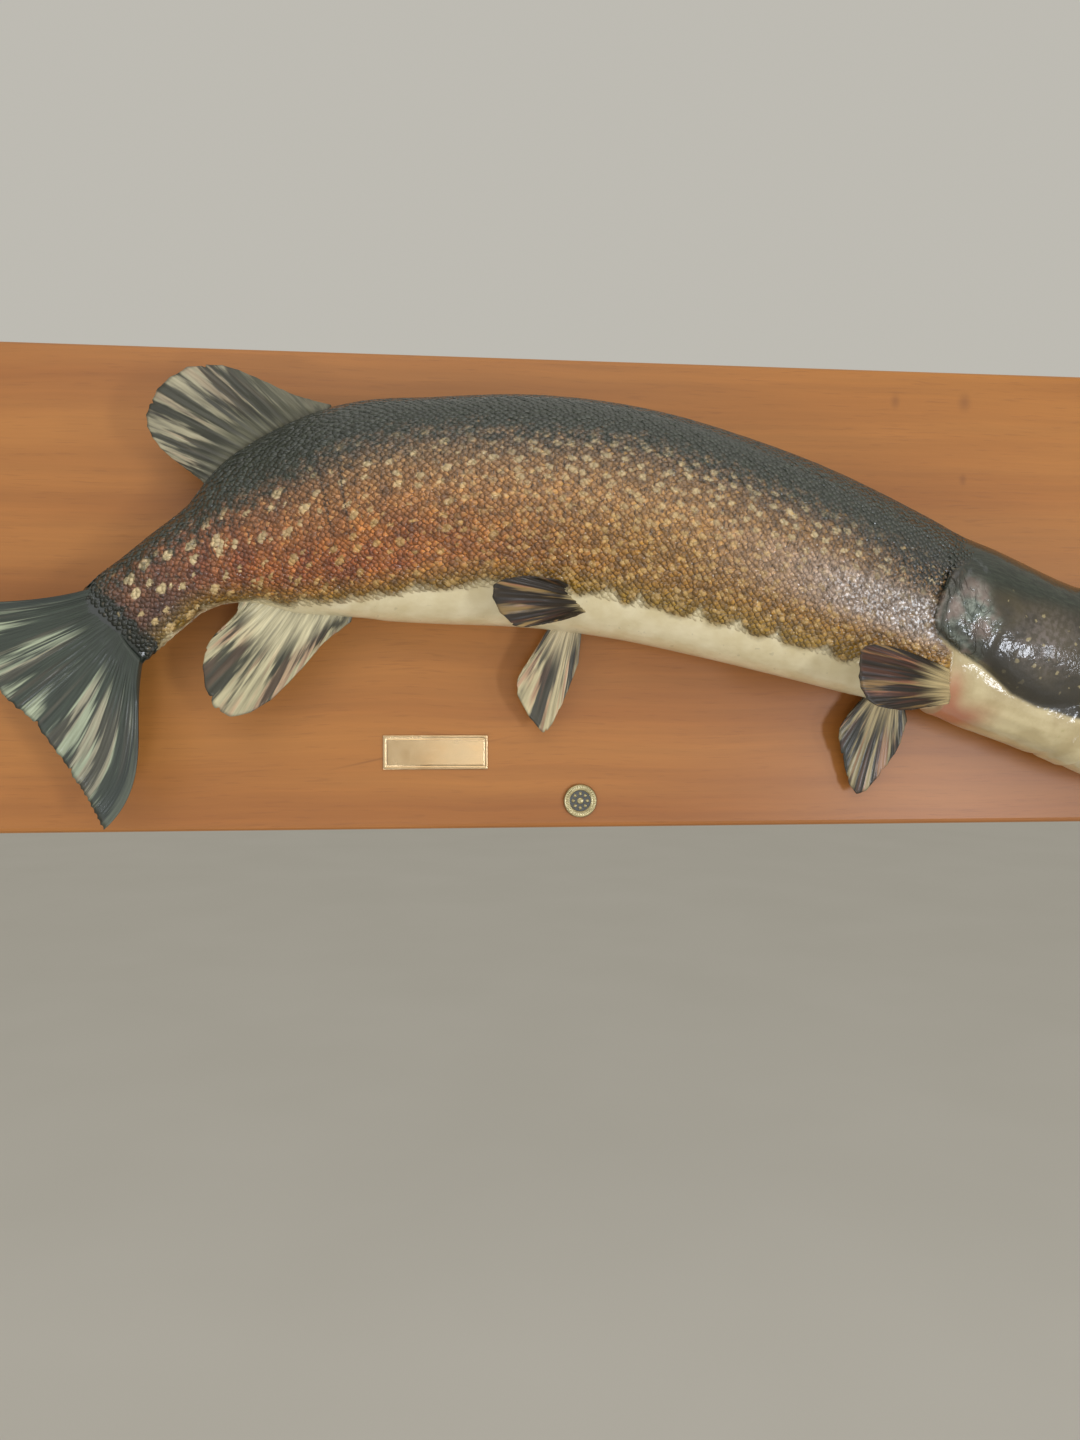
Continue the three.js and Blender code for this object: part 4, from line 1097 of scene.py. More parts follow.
# Points of each fin's root line and margin, front ray first, its thickness at root and edge, bow, number of
# rays and wear; then the bands, seed, pale and pink shares and colours of its brushed streaks. baseFade =
# how far the root's colour runs out, plain = width of plain strips at both sides and their colour, bend =
# mm that the first and last rays swing by, near the root and near the margin
finForm = {
    "dorsal_fin": {
        "root": [(-186, -71, 120), (-215, -71, 113), (-245, -71, 97), (-277, -71, 70)],
        "margin": [(-190, -71, 133), (-216, -72, 139), (-243, -73, 150), (-268, -74, 157.5),
                   (-291, -74, 155.5), (-311, -74, 140), (-320, -73, 120), (-312, -72, 99),
                   (-284, -71, 78)],
        "thick": 6, "edge": 1.6, "bow": -3, "rays": 20, "rough": 1.1, "plain": (0.27, 0.0, "#4d4c39"),
        "bands": 12.0, "seed": 3.1, "pale": 0.52, "pink": 0.30, "baseFade": 0.40,
        "dark": "#36372a", "light": "#9c967c", "flush": "#9c7b66", "base": "#5d5c49",
    },
    "anal_fin": {
        "root": [(-172, -71, -13), (-200, -71, -14), (-228, -71, -10), (-252, -71, 1)],
        "margin": [(-176, -71, -26), (-197, -71, -43), (-216, -70, -65), (-238, -69, -86), (-262, -68, -96),
                   (-277, -68, -86), (-283, -69, -64), (-279, -70, -42), (-260, -71, -24),
                   (-256, -71, -12)],
        "thick": 6, "edge": 1.6, "bow": 3, "rays": 17, "rough": 1.1, "plain": (0.01, 0.0, "#55503a"),
        "bands": 8.5, "seed": 8.4, "pale": 0.57, "pink": 0.50, "baseFade": 0.62,
        "dark": "#3d3d2f", "light": "#b3ab89", "flush": "#a96f59", "base": "#cfc6a2",
    },
    "pelvic_fin_near": {
        "root": [(-3, -98, -6), (-5, -97, -18)],
        "margin": [(-30, -121, 3), (-55, -126, 5), (-74, -129, 0), (-77, -130, -10), (-71, -130, -22),
                   (-60, -130, -31), (-42, -127, -29), (-26, -123, -25)],
        "thick": 6, "edge": 1.4, "bow": -6, "rays": 11, "rough": 1.2,
        "bands": 7.5, "seed": 1.7, "pale": 0.42, "pink": 0.62, "baseFade": 0.26,
        "dark": "#251a0a", "light": "#846b40", "flush": "#95553c", "base": "#b9a679", "gloss": 0.1,
    },
    "pelvic_fin_far": {
        "root": [(-2, -54, -18), (-22, -54, -18)],
        "margin": [(-5, -50, -56), (-12, -47, -76), (-21, -44, -96), (-31, -42, -109), (-43, -42, -96),
                   (-53, -43, -74), (-46, -46, -58), (-36, -50, -45)],
        "thick": 6, "edge": 1.4, "bow": 3, "rays": 11, "rough": 1.2,
        "bands": 6.5, "seed": 5.9, "pale": 0.62, "pink": 0.55, "baseFade": 0.66,
        "dark": "#46443a", "light": "#c4b892", "flush": "#b87c64", "base": "#d8c8a0",
    },
    "pectoral_fin_near": {
        "root": [(270, -103, -60), (266, -98, -84)],
        "margin": [(222, -127, -46), (200, -133, -41), (184, -137, -45), (181, -139, -58), (182, -140, -70),
                   (191, -139, -83), (210, -134, -88), (229, -126, -88)],
        "thick": 8, "edge": 1.4, "bow": -8, "rays": 14, "rough": 1.0,
        "bands": 8.0, "seed": 2.35, "pale": 0.43, "pink": 0.66, "baseFade": 0.48,
        "dark": "#221708", "light": "#7c6036", "flush": "#9c5b45", "base": "#b5a276", "gloss": 0.1,
    },
    "pectoral_fin_far": {
        "root": [(256, -44, -72), (236, -44, -70)],
        "margin": [(264, -40, -100), (257, -38, -122), (245, -36, -142), (230, -34, -158), (220, -33, -155),
                   (213, -34, -133), (207, -37, -109), (214, -40, -95)],
        "thick": 8, "edge": 1.4, "bow": 3, "rays": 14, "rough": 1.0,
        "bands": 6.5, "seed": 7.3, "pale": 0.50, "pink": 0.62, "baseFade": 0.62,
        "dark": "#34332a", "light": "#a0936f", "flush": "#a06853", "base": "#b5a57d",
    },
    "tail_fin": {
        "root": [(-336, -71, 6), (-341, -71, -18), (-336, -71, -38), (-324, -71, -54)],
        "margin": [(-487, -71, -14), (-462, -71, -34), (-438, -71, -58), (-421, -71, -80), (-402, -71, -98),
                   (-381, -71, -127), (-366, -71, -151), (-353, -71, -177)],
        "thick": 7, "edge": 1.8, "bow": 0, "rays": 34, "rough": 1.0, "plain": (0.03, 0.04, "#2b3330"),
        "bend": ((-16, -6), (0, -30)), "flesh": 2.4, "bare": 0.1,
        "bands": 11.0, "seed": 4.2, "pale": 0.49, "pink": 0.42, "baseFade": 0.36,
        "dark": "#384138", "light": "#9ca58c", "flush": "#9c806f", "base": "#333b33",
    },
}
# what they share: points from ray to ray and along them, a ray's height, the skin's ripple, margin's colour
finShared = {"perRay": 8, "along": 40, "ridge": 0.62, "ripple": 0.8, "edge": "#3a362a"}


def wornReach(form, a, r, main, length):
    # r cut back where the margin is worn: more between the rays, with random nicks and three thin tears
    nicks = along(rng.random(form["rays"] + 1), a * form["rays"]) - 0.5
    worn = form["rough"] * (1.0 + 0.8 * (1 - main) + 1.2 * nicks) / length
    for tear in rng.random(3) * 0.8 + 0.1:
        worn = worn + form["rough"] * 2.2 / length * bell((a - tear) / 0.006)
    return r * (1 - np.clip(worn, 0, 0.08))


def halfThickness(form, a, r, reach, lane, main, length):
    # thins from root to margin and swells on each ray, (1/2 + 1/2 cos 2 pi n)^2, then on both halves of
    # it further out where it splits; jointed, fleshy at the root and rounded off at the edges
    split = (0.5 + 0.5 * np.cos(2 * tau * lane)) ** 2
    bar = main + (0.8 * split - main) * smooth((reach - 0.42) / 0.2)
    joints = 0.10 * np.cos(tau * reach * length / 3.4) * smooth((reach - 0.25) / 0.2)
    stem = form["thick"] + (form["edge"] - form["thick"]) * np.sqrt(reach)
    thick = stem * (0.74 + joints * bar * 0.3) / 2
    raised = (1 - 0.45 * reach) * smooth((reach - form.get("bare", 0)) / 0.14)
    thick = thick + finShared["ridge"] * bar * raised
    thick = thick + form.get("flesh", 0.4) * (1 - smooth((reach - 0.08) / 0.24))
    rim = np.clip(np.minimum(a, 1 - a) * 70, 0, 1) ** 0.5 * np.clip((1 - r) * 26, 0, 1) ** 0.5
    return thick * (0.25 + 0.75 * rim)


def finPlate(form):
    # rays run from the root line to the margin, a across and r along them; the middle sheet is
    # root + r (margin - root), bent by cubics at the two edges and bowed by sin(pi r) sin(pi a), and both
    # faces stand off it by half the thickness
    rays = form["rays"]
    across, steps = rays * finShared["perRay"] + 1, finShared["along"] + 1
    a, r = np.linspace(0, 1, across)[:, None], np.linspace(0, 1, steps)[None, :] ** 0.9
    root, margin = (np.stack([along(row, a * (len(row) - 1)) for row in np.array(form[key], float).T], -1)
                    for key in ("root", "margin"))
    ray = margin - root
    length = np.linalg.norm(ray, axis=-1)
    lane = rays * (a + 0.045 * np.sin(tau * a))  # rays crowd together at both edges
    main = (0.5 + 0.5 * np.cos(tau * lane)) ** 2
    reach = wornReach(form, a, r, main, length)
    sideways = np.stack([-ray[..., 2], 0 * ray[..., 0], ray[..., 0]], -1)
    sideways /= np.linalg.norm(sideways, axis=-1)[..., None]
    bendFirst, bendLast = form.get("bend", ((0, 0), (0, 0)))
    edgeFirst, edgeLast = np.maximum(1 - 2 * a, 0) ** 2, np.maximum(2 * a - 1, 0) ** 2
    bends = [bendFirst[k] * edgeFirst + bendLast[k] * edgeLast for k in range(2)]
    swing = 3 * (1 - reach) ** 2 * reach * bends[0] + 3 * (1 - reach) * reach**2 * bends[1]
    middle = root + ray * reach[..., None] - sideways * swing[..., None]
    middle[..., 1] += form["bow"] * np.sin(math.pi * reach) * np.sin(math.pi * a)
    middle[..., 1] += finShared["ripple"] * reach * np.sin(tau * (lane / 4.6 + form["seed"]))
    normal = np.cross(np.gradient(middle, axis=0), np.gradient(middle, axis=1))
    normal /= np.linalg.norm(normal, axis=-1)[..., None] + 1e-9
    normal *= np.sign(-normal[..., 1].mean())  # towards the room
    thick = halfThickness(form, a, r, reach, lane, main, length)
    front, back = ((middle + side * normal * thick[..., None]).reshape(-1, 3) for side in (1, -1))
    where = np.stack(np.broadcast_arrays(a, reach), -1).reshape(-1, 2)
    faces = plateFaces(across, steps)
    first, second, third = (front[faces[0][:, k]] for k in range(3))
    facing = np.cross(second - first, third - first) * normal.reshape(-1, 3)[faces[0][:, 0]]
    if facing.sum() < 0:
        faces = [face[:, ::-1] for face in faces]
    return np.concatenate([front, back]), faces, np.concatenate([where, where])


def brushedFin(name, form):
    # a dried fin, stiff and horny, painted in streaks drawn out along the rays, under satin varnish
    material, add, shader = startMaterial(f"varnished {name.replace('_', ' ')}", Roughness=0.5, IOR=1.45,
                                          Coat_Weight=form.get("gloss", 0.3), Coat_Roughness=0.2)
    at = add("UVMap", uv_map="finAt")
    u, v = (add("SeparateXYZ", at, out=k) for k in range(2))
    seed = form["seed"]
    streakAt, hairAt, flushAt = (
        add("CombineXYZ", add("Math", "MULTIPLY", u, across), add("Math", "MULTIPLY", v, outward), shift)
        for across, outward, shift in ((form["bands"], 0.55, seed), (2.6 * form["rays"], 2.6, seed + 3),
                                       (form["bands"] * 1.9, 0.8, seed + 11)))
    streaks = add("TexNoise", Vector=streakAt, Scale=1.6, Detail=1.0, Roughness=0.4)
    hair = add("TexNoise", Vector=hairAt, Scale=1.0, Detail=3.0)
    hairShift = add("MapRange", hair, 0.2, 0.8, -0.13, 0.13)
    streaks = add("Math", "ADD", streaks, hairShift)
    limit = add("MapRange", v, 0.12, 0.95, 1.02 - form["pale"] + 0.12, 1.02 - form["pale"] - 0.03)
    paleAt = add("Math", "SUBTRACT", streaks, limit)
    pale = add("MapRange", paleAt, -0.06, 0.08, interpolation_type="SMOOTHSTEP")
    colour = add("Mix", pale, toLinear(form["dark"]), toLinear(form["light"]))
    flush = add("TexNoise", Vector=flushAt, Scale=1.3, Detail=1.0)
    flush = add("MapRange", flush, 0.52, 0.62)
    outer = add("MapRange", v, 0.25, 0.5)
    onPale = add("MapRange", pale, 0.0, 1.0, 0.25, 1.0)
    for part in (outer, form["pink"], onPale):
        flush = add("Math", "MULTIPLY", flush, part)
    colour = add("Mix", flush, colour, toLinear(form["flush"]))
    foot = add("MapRange", streaks, 0.3, 0.7, 0.12, -0.12)
    foot = add("Math", "ADD", v, foot)
    foot = add("MapRange", foot, form["baseFade"] * 0.2, form["baseFade"], 1.0, 0.0,
               interpolation_type="SMOOTHSTEP")
    colour = add("Mix", foot, colour, toLinear(form["base"]))
    # brush hairlines along the rays, lighter where the bump's hairs stand up and darker between them: brush
    # marks and also painted highlight and shade on the fine relief
    shade = add("MapRange", hair, 0.3, 0.7, 0.6, 1.28)
    colour = add("Mix", 1.0, colour, shade, blend_type="MULTIPLY")
    first, last, sideTone = form.get("plain", (0, 0, form["dark"]))
    offRoot = add("MapRange", v, 0.1, 0.3)
    for edges in ((first, first + 0.1, 0.8, 0.0), (0.93 - last, 1 - last, 0.0, 0.8)):
        side = add("MapRange", u, *edges)
        side = add("Math", "MULTIPLY", side, offRoot)
        colour = add("Mix", side, colour, toLinear(sideTone))
    edge = add("MapRange", v, 0.955, 0.992, 0.0, 0.6)
    colour = add("Mix", edge, colour, toLinear(finShared["edge"]))
    colourAndBump(add, shader, colour, hair, 0.6, 0.0007)
    return material


for finName, finShape in finForm.items():
    finPoints, finFaces, finMap = finPlate(finShape)
    makePiece(finName, finPoints, finFaces, [brushedFin(finName, finShape)], [finName],
              maps={"finAt": finMap})


def lathe(profile, columns):
    # a profile of (radius, height) turned once round the height axis, with a point at each end:
    # (r cos a, r sin a, h), and the faces, fans at the poles
    radius, height = np.array(profile, float).T
    angle = np.arange(columns) * tau / columns
    r, h = radius[1:-1, None], height[1:-1, None]
    ring = np.stack(np.broadcast_arrays(r * np.cos(angle), r * np.sin(angle), h), -1).reshape(-1, 3)
    points = np.concatenate([ring, [(0, 0, height[0]), (0, 0, height[-1])]])
    rows = len(radius) - 2
    first, nextColumn = np.arange(columns), (np.arange(columns) + 1) % columns
    start = np.stack([np.full(columns, len(ring)), nextColumn, first], 1)
    end = np.stack([np.full(columns, len(ring) + 1), (rows - 1) * columns + first,
                    (rows - 1) * columns + nextColumn], 1)
    return points, [gridFaces(rows, columns, closed=True), start, end]


eyeForm = {
    "radius": 14.35,
    "pupil": 0.36, "iris": 0.73,  # radii as shares of the ball's
    "brass": "#c79a2e", "spokes": "#6b4c16", "glow": "#e5c25a", "rim": "#14110b", "black": "#050505",
    "rings": 32, "columns": 48,
}


def glassEye():
    # a cast glass eye painted from behind: round black pupil, brassy iris with dark spokes, black rim,
    # and the hard gloss of glass
    form = eyeForm
    material, add, shader = startMaterial("painted glass eye", Roughness=0.12, IOR=1.52,
                                          Coat_Weight=1.0, Coat_Roughness=0.02, Coat_IOR=1.52)
    at = add("UVMap", uv_map="eyeAt")
    turn, out = (add("SeparateXYZ", at, out=k) for k in range(2))
    spokeAt = add("CombineXYZ", add("Math", "MULTIPLY", turn, 34.0), add("Math", "MULTIPLY", out, 3.0))
    spokes = add("TexNoise", Vector=spokeAt, Scale=1.0, Detail=3.0)
    spokes = add("MapRange", spokes, 0.35, 0.7)
    colour = add("Mix", spokes, toLinear(form["brass"]), toLinear(form["spokes"]))
    glow = add("MapRange", out, form["pupil"], form["pupil"] + 0.09, 0.8, 0.0)
    rim = add("MapRange", out, form["iris"] - 0.1, form["iris"])
    black = add("MapRange", out, form["pupil"] - 0.02, form["pupil"] + 0.01, 1.0, 0.0)
    for part, shade in ((glow, "glow"), (rim, "rim"), (black, "black")):
        colour = add("Mix", part, colour, toLinear(form[shade]))
    plug(colour, shader, "Base Color")
    return material


def buildEyes():
    # a ball turned round its line of sight; the map holds the turn and the sine of the angle from the pupil
    material, form = glassEye(), eyeForm
    eyeX, eyeZ, eyeSide, _ = headForm["eye"]
    angle = np.linspace(0, math.pi, form["rings"] + 1)
    profile = np.stack([np.sin(angle), np.cos(angle)], 1) * form["radius"]
    ball, faces = lathe(profile, form["columns"])
    out = np.where(ball[:, 2] > 0, np.hypot(ball[:, 0], ball[:, 1]) / form["radius"], 1.0)
    turn = np.arctan2(ball[:, 1], ball[:, 0]) / math.pi
    for name, side in (("eye_near", -1), ("eye_far", 1)):
        points = np.stack([ball[:, 0], side * ball[:, 2], ball[:, 1]], 1)
        points += (eyeX, fishPlane + side * eyeSide, eyeZ)
        turned = faces if side < 0 else [f[:, ::-1] for f in faces]
        makePiece(name, points, turned, [material], [name],
                  maps={"eyeAt": np.stack([np.abs(turn), out], 1)})


buildEyes()

# rows of teeth: the lips they stand on, how many on each side, first and last x, length, width, inset from
# the outer side, 1 for upwards and -1 for downwards
teethRows = [
    (jaw, 7, 405, 500, 11, 3.6, 3.2, 1), (jaw, 15, 400, 508, 4.2, 1.7, 3.0, 1),
    (skull, 8, 424, 500, 6, 2.6, 4.5, -1), (skull, 22, 404, 505, 3.6, 1.5, 3.4, -1),
    (skull, 4, 428, 482, 8, 3, 13, -1), (skull, 16, 420, 496, 3.4, 1.5, 11, -1),
    (skull, 14, 424, 490, 3.0, 1.4, 16, -1),
]
toothForm = {
    "sides": 8, "rings": 6, "sunk": 2.6,  # mm of the root in the flesh
    "lean": 0.32, "inward": 0.10,  # how far tips bend back and in, as shares of their length
    "root": "#b98d6a", "rootPale": "#d9c49a", "tip": "#eee6cf",
}


def toothIvory():
    # old teeth, ivory at the tip and stained at the root, dully polished
    material, add, shader = startMaterial("dried tooth ivory", Roughness=0.3, IOR=1.54, Coat_Weight=0.4)
    tip = add("Attribute", out="Fac", attribute_name="tip")
    place = add("TexCoord", out="Object")
    stain = add("TexNoise", Vector=place, Scale=900.0, Detail=2.0)  # 1 mm stains
    root = add("Mix", stain, toLinear(toothForm["root"]), toLinear(toothForm["rootPale"]))
    clean = add("MapRange", tip, 0.2, 0.6)
    colour = add("Mix", clean, root, toLinear(toothForm["tip"]))
    plug(colour, shader, "Base Color")
    return material


def buildTeeth():
    # cones of revolution, radius w/2 (1 - h)^0.8, bent back by lean h^2 of their length
    sides, rings, sunk = (toothForm[key] for key in ("sides", "rings", "sunk"))
    h = np.linspace(0, 1, rings)
    angle = np.arange(sides) * tau / sides
    radius = np.maximum((1 - h) ** 0.8, 0.04)
    points, faces, heights = [], [], []
    for table, count, start, end, length, width, inset, way in teethRows:
        for i in range(count):
            x = start + (end - start) * i / (count - 1)
            t = np.interp(x, table["cx"], table["t"])
            half, square = along(table["half"], t), along(table["square"], t)
            reach = along(table["up"], t)
            if way < 0:
                rim = (1 - min((half - inset) / half, 1) ** square) ** (1 / square)
                reach = -along(table["down"], t) * rim
            tx, tz = heading(table, t)
            centre = np.interp(x, table["cx"], table["cz"])
            full = length * (0.75 + 0.25 * math.cos(2.4 * i)) + sunk
            bend = (h**2)[:, None] * full
            up = (h * full - sunk)[:, None] * way + reach
            across = radius[:, None] * np.sin(angle) * width / 2
            ahead = radius[:, None] * np.cos(angle) * width / 2 - bend * toothForm["lean"]
            out = half - inset - bend * toothForm["inward"]
            for side in (-1, 1):
                cone = np.stack([x + tx * ahead - tz * up, fishPlane + side * out + across,
                                 centre + tz * ahead + tx * up], -1)
                first = len(points) * sides * rings
                body = gridFaces(rings, sides, first, closed=True)
                caps = np.array([np.arange(sides)[::-1], np.arange(sides) + (rings - 1) * sides]) + first
                points.append(cone.reshape(-1, 3))
                faces.append((body if way < 0 else body[:, ::-1], caps if way < 0 else caps[:, ::-1]))
                heights.append(np.repeat(h, sides))
    body, caps = (np.concatenate([f[k] for f in faces]) for k in range(2))
    makePiece("teeth", np.concatenate(points), [body, caps], [toothIvory()],
              values={"tip": np.concatenate(heights)})


buildTeeth()

tongueForm = {
    "rings": 56, "columns": 44, "groove": 1.4, "ripple": 0.35,  # mm
    "dark": "#a9705c", "light": "#cfa98d",
}


def paintedTongue():
    # cast and painted flesh, rough with buds, under wet-looking varnish
    material, add, shader = startMaterial("varnished painted tongue", Roughness=0.3, IOR=1.5,
                                          Coat_Weight=0.8, Coat_Roughness=0.1)
    place = add("TexCoord", out="Object")
    clouds = add("TexNoise", Vector=place, Scale=90.0, Detail=4.0)  # 11 mm clouds
    colour = add("Mix", clouds, toLinear(tongueForm["dark"]), toLinear(tongueForm["light"]))
    grit = add("TexNoise", Vector=place, Scale=700.0, Detail=2.0)  # 1.4 mm buds
    colourAndBump(add, shader, colour, grit, 0.5, 0.0008)
    return material


def buildTongue():
    # ovals along the tongue's centres, (half sin a, up or down cos a), with a groove down the middle
    rings, columns = tongueForm["rings"], tongueForm["columns"]
    t, angle = np.linspace(0.02, 3.99, rings)[:, None], np.arange(columns) * tau / columns
    c, s = np.cos(angle), np.sin(angle)
    reach = np.where(c > 0, along(tongue["up"], t), along(tongue["down"], t))
    ends = np.sqrt(np.clip(np.minimum(t / 0.25, (4 - t) / 0.35), 0.02, 1))
    h = c * reach * ends - tongueForm["groove"] * bell(s / 0.16) * (c > 0) * ends
    h = h + tongueForm["ripple"] * np.sin(tau * t * 4.2 + 2 * s) * np.maximum(c, 0) * ends
    y = s * along(tongue["half"], t) * ends
    x, z = overCentre(tongue, t, h)
    points = np.stack([x, fishPlane - y, z], -1).reshape(-1, 3)
    caps = np.array([np.arange(columns)[::-1], np.arange(columns) + (rings - 1) * columns])
    faces = [gridFaces(rings, columns, closed=True), caps]
    makePiece("tongue", points, faces, [paintedTongue()], ["tongue"])


buildTongue()

boardLook = {
    "sway": 0.015,  # metres by which the grain's noise shifts a point on average
    # x, z and radius in metres
    "knots": ((0.258, 0.161, 0.0045), (0.317, 0.162, 0.006), (0.318, 0.098, 0.0035), (-0.47, -0.13, 0.004)),
    "dark": "#9a5c20", "light": "#b97a35", "line": "#7d4a1c", "knot": "#6b3d1a",
    "streak": ((-0.179, -0.1355), (-0.0346, -0.1093)),  # a dark thread in the grain runs between these
}


def varnishedVeneer():
    # beech-like veneer, sliced and stained honey brown, sprayed with satin varnish: faint long grain,
    # short dark pores drawn wider than their 0.3 mm so that they show, a few pin knots, a soft sheen
    material, add, shader = startMaterial("satin varnished stained veneer", Roughness=0.5, IOR=1.5,
                                          Coat_Weight=0.3, Coat_Roughness=0.32)
    place = add("TexCoord", out="Object")
    sway = add("TexNoise", Vector=place, Scale=3.2, Detail=2.0, out=1)  # 0.3 m waves
    sway = add("VectorMath", "SCALE", sway, Scale=2 * boardLook["sway"])
    bent = add("VectorMath", "ADD", place, sway)
    bandAt = add("VectorMath", "MULTIPLY", bent, (1.1, 6.0, 16.0))  # 0.9 m long and 60 mm high
    bands = add("TexNoise", Vector=bandAt, Scale=1.0, Detail=3.0)
    lineAt = add("VectorMath", "MULTIPLY", bent, (5.0, 60.0, 190.0))  # 200 mm long and 5 mm high
    lines = add("TexNoise", Vector=lineAt, Scale=1.0, Detail=4.0, Roughness=0.6)
    poreAt = add("VectorMath", "MULTIPLY", bent, (45.0, 300.0, 700.0))  # 22 mm long and 1.4 mm high
    pores = add("TexNoise", Vector=poreAt, Scale=1.0, Detail=1.0)
    pores = add("MapRange", pores, 0.60, 0.74, 0.0, 0.22)
    tone = add("MapRange", bands, 0.3, 0.7)
    colour = add("Mix", tone, toLinear(boardLook["dark"]), toLinear(boardLook["light"]))
    thread = add("MapRange", lines, 0.25, 0.75, 0.9, 1.09)
    colour = add("Mix", 1.0, colour, thread, blend_type="MULTIPLY")
    colour = add("Mix", pores, colour, toLinear(boardLook["line"]))
    x, z = (add("SeparateXYZ", bent, out=k) for k in (0, 2))
    for knotX, knotZ, radius in boardLook["knots"]:
        dx = add("Math", "SUBTRACT", x, knotX + boardLook["sway"])
        dx = add("Math", "MULTIPLY", dx, 1.5)
        dz = add("Math", "SUBTRACT", z, knotZ + boardLook["sway"])
        far = add("VectorMath", "LENGTH", add("CombineXYZ", dx, 0.0, dz), out="Value")
        knot = add("MapRange", far, 0.0, radius * 2.0, 0.38, 0.0, interpolation_type="SMOOTHSTEP")
        colour = add("Mix", knot, colour, toLinear(boardLook["knot"]))
    (startX, startZ), (endX, endZ) = boardLook["streak"]
    slope = (endZ - startZ) / (endX - startX)
    rise = add("Math", "MULTIPLY_ADD", x, slope, startZ - slope * startX)
    off = add("Math", "SUBTRACT", z, rise)
    off = add("Math", "SUBTRACT", off, boardLook["sway"])
    off = add("Math", "ABSOLUTE", off)
    off = add("MapRange", off, 0.0, 0.0011, 0.55, 0.0)
    for edges in ((startX - 0.01, startX + 0.03, 0.0, 1.0), (endX - 0.04, endX + 0.01, 1.0, 0.0)):
        ends = add("MapRange", x, *edges)
        off = add("Math", "MULTIPLY", off, ends)
    colour = add("Mix", off, colour, toLinear(boardLook["line"]))
    height = add("Math", "SUBTRACT", lines, pores)
    colourAndBump(add, shader, colour, height, 0.25, 0.0005)
    return material


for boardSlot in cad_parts["board"].material_slots:
    boardSlot.material = varnishedVeneer()
print("board: veneered")

plateForm = {
    "x": -114, "z": -124.3, "width": 82, "height": 27, "back": -22.3, "thick": 1.2, "bevel": 0.5,
    "border": 2.6, "groove": 0.22,  # mm from the edge to the line cut round it, its depth and half width
    "dark": "#c3a57c", "light": "#d8bd95", "roughness": 0.2,
}


def rolledBrass(name, form):
    # rolled sheet brass, polished along its length and lacquered: fine drawn lines, warm pale gold
    roughness = form["roughness"]
    material, add, shader = startMaterial(name, Metallic=1.0, Roughness=roughness, Coat_Weight=0.3,
                                          Coat_Roughness=0.08)
    place = add("TexCoord", out="Object")
    lineAt = add("VectorMath", "MULTIPLY", place, (40.0, 400.0, 2600.0))  # 25 mm long and 0.4 mm high
    drawn = add("TexNoise", Vector=lineAt, Scale=1.0, Detail=3.0)
    cloud = add("TexNoise", Vector=place, Scale=60.0, Detail=3.0)  # 17 mm clouds
    mixed = add("MapRange", cloud, 0.3, 0.7)
    tint = add("Mix", mixed, toLinear(form["dark"]), toLinear(form["light"]))
    rough = add("MapRange", cloud, 0.2, 0.8, roughness - 0.06, roughness + 0.1)
    plug(rough, shader, "Roughness")
    colourAndBump(add, shader, tint, drawn, 0.12, 0.0002)
    return material


def buildPlate():
    # height over the back as a function of the distance d to the nearest edge: a quarter-round bevel,
    # then a fine groove cut round the plate as a border; the face inside it is left bare
    form = plateForm
    # mm from the edges at which the grid is cut, closest together in the bevel and the groove
    steps = np.array([0, 0.06, 0.15, 0.3, 0.5, 1.2, 2.2, 2.4, 2.6, 2.8, 3.0, 4.0])
    u = np.concatenate([steps, np.linspace(5, form["width"] - 5, 30), form["width"] - steps[::-1]])
    v = np.concatenate([steps, np.linspace(5, form["height"] - 5, 12), form["height"] - steps[::-1]])
    u, v = np.meshgrid(u, v, indexing="ij")
    edge = np.minimum(np.minimum(u, form["width"] - u), np.minimum(v, form["height"] - v))
    inward = 1 - np.clip(edge / form["bevel"], 0, 1)
    bevel = form["bevel"] * (1 - np.sqrt(np.clip(1 - inward**2, 0, 1)))
    line = bell((edge - form["border"]) / form["groove"])
    face = form["thick"] - bevel - form["groove"] * line
    x, z = form["x"] - form["width"] / 2 + u, form["z"] - form["height"] / 2 + v
    points = np.concatenate([np.stack([x, form["back"] - height, z], -1).reshape(-1, 3)
                             for height in (face, 0 * face)])
    makePiece("brass_plate", points, plateFaces(*x.shape), [rolledBrass("polished sheet brass", form)],
              ["brass_plate"])


medalForm = {
    "x": 0.8, "z": -163.3, "back": -22.35, "radius": 13.4, "thick": 2.9,
    "field": 8.6, "levels": (0.55, 0.86),  # radius of the sunk field; heights of field and rim / thick
    "beads": 36, "studs": 8, "stud": (5.6, 1.25, 0.75),  # radius of their ring, a stud's size and height
    "boss": (2.6, 0.95), "columns": 216,
    "dark": "#a3976f", "light": "#bdb189", "roughness": 0.3, "black": "#24292c", "grey": "#343a3c",
}


def blackEnamel():
    # fired enamel in the medallion's sunk field: near black, glassy, faintly pitted
    form = medalForm
    material, add, shader = startMaterial("fired black enamel", Roughness=0.22, IOR=1.52, Coat_Weight=0.6,
                                          Coat_Roughness=0.05)
    place = add("TexCoord", out="Object")
    cloud = add("TexNoise", Vector=place, Scale=500.0, Detail=2.0)  # 2 mm pits
    colour = add("Mix", cloud, toLinear(form["black"]), toLinear(form["grey"]))
    colourAndBump(add, shader, colour, cloud, 0.2, 0.0002)
    return material


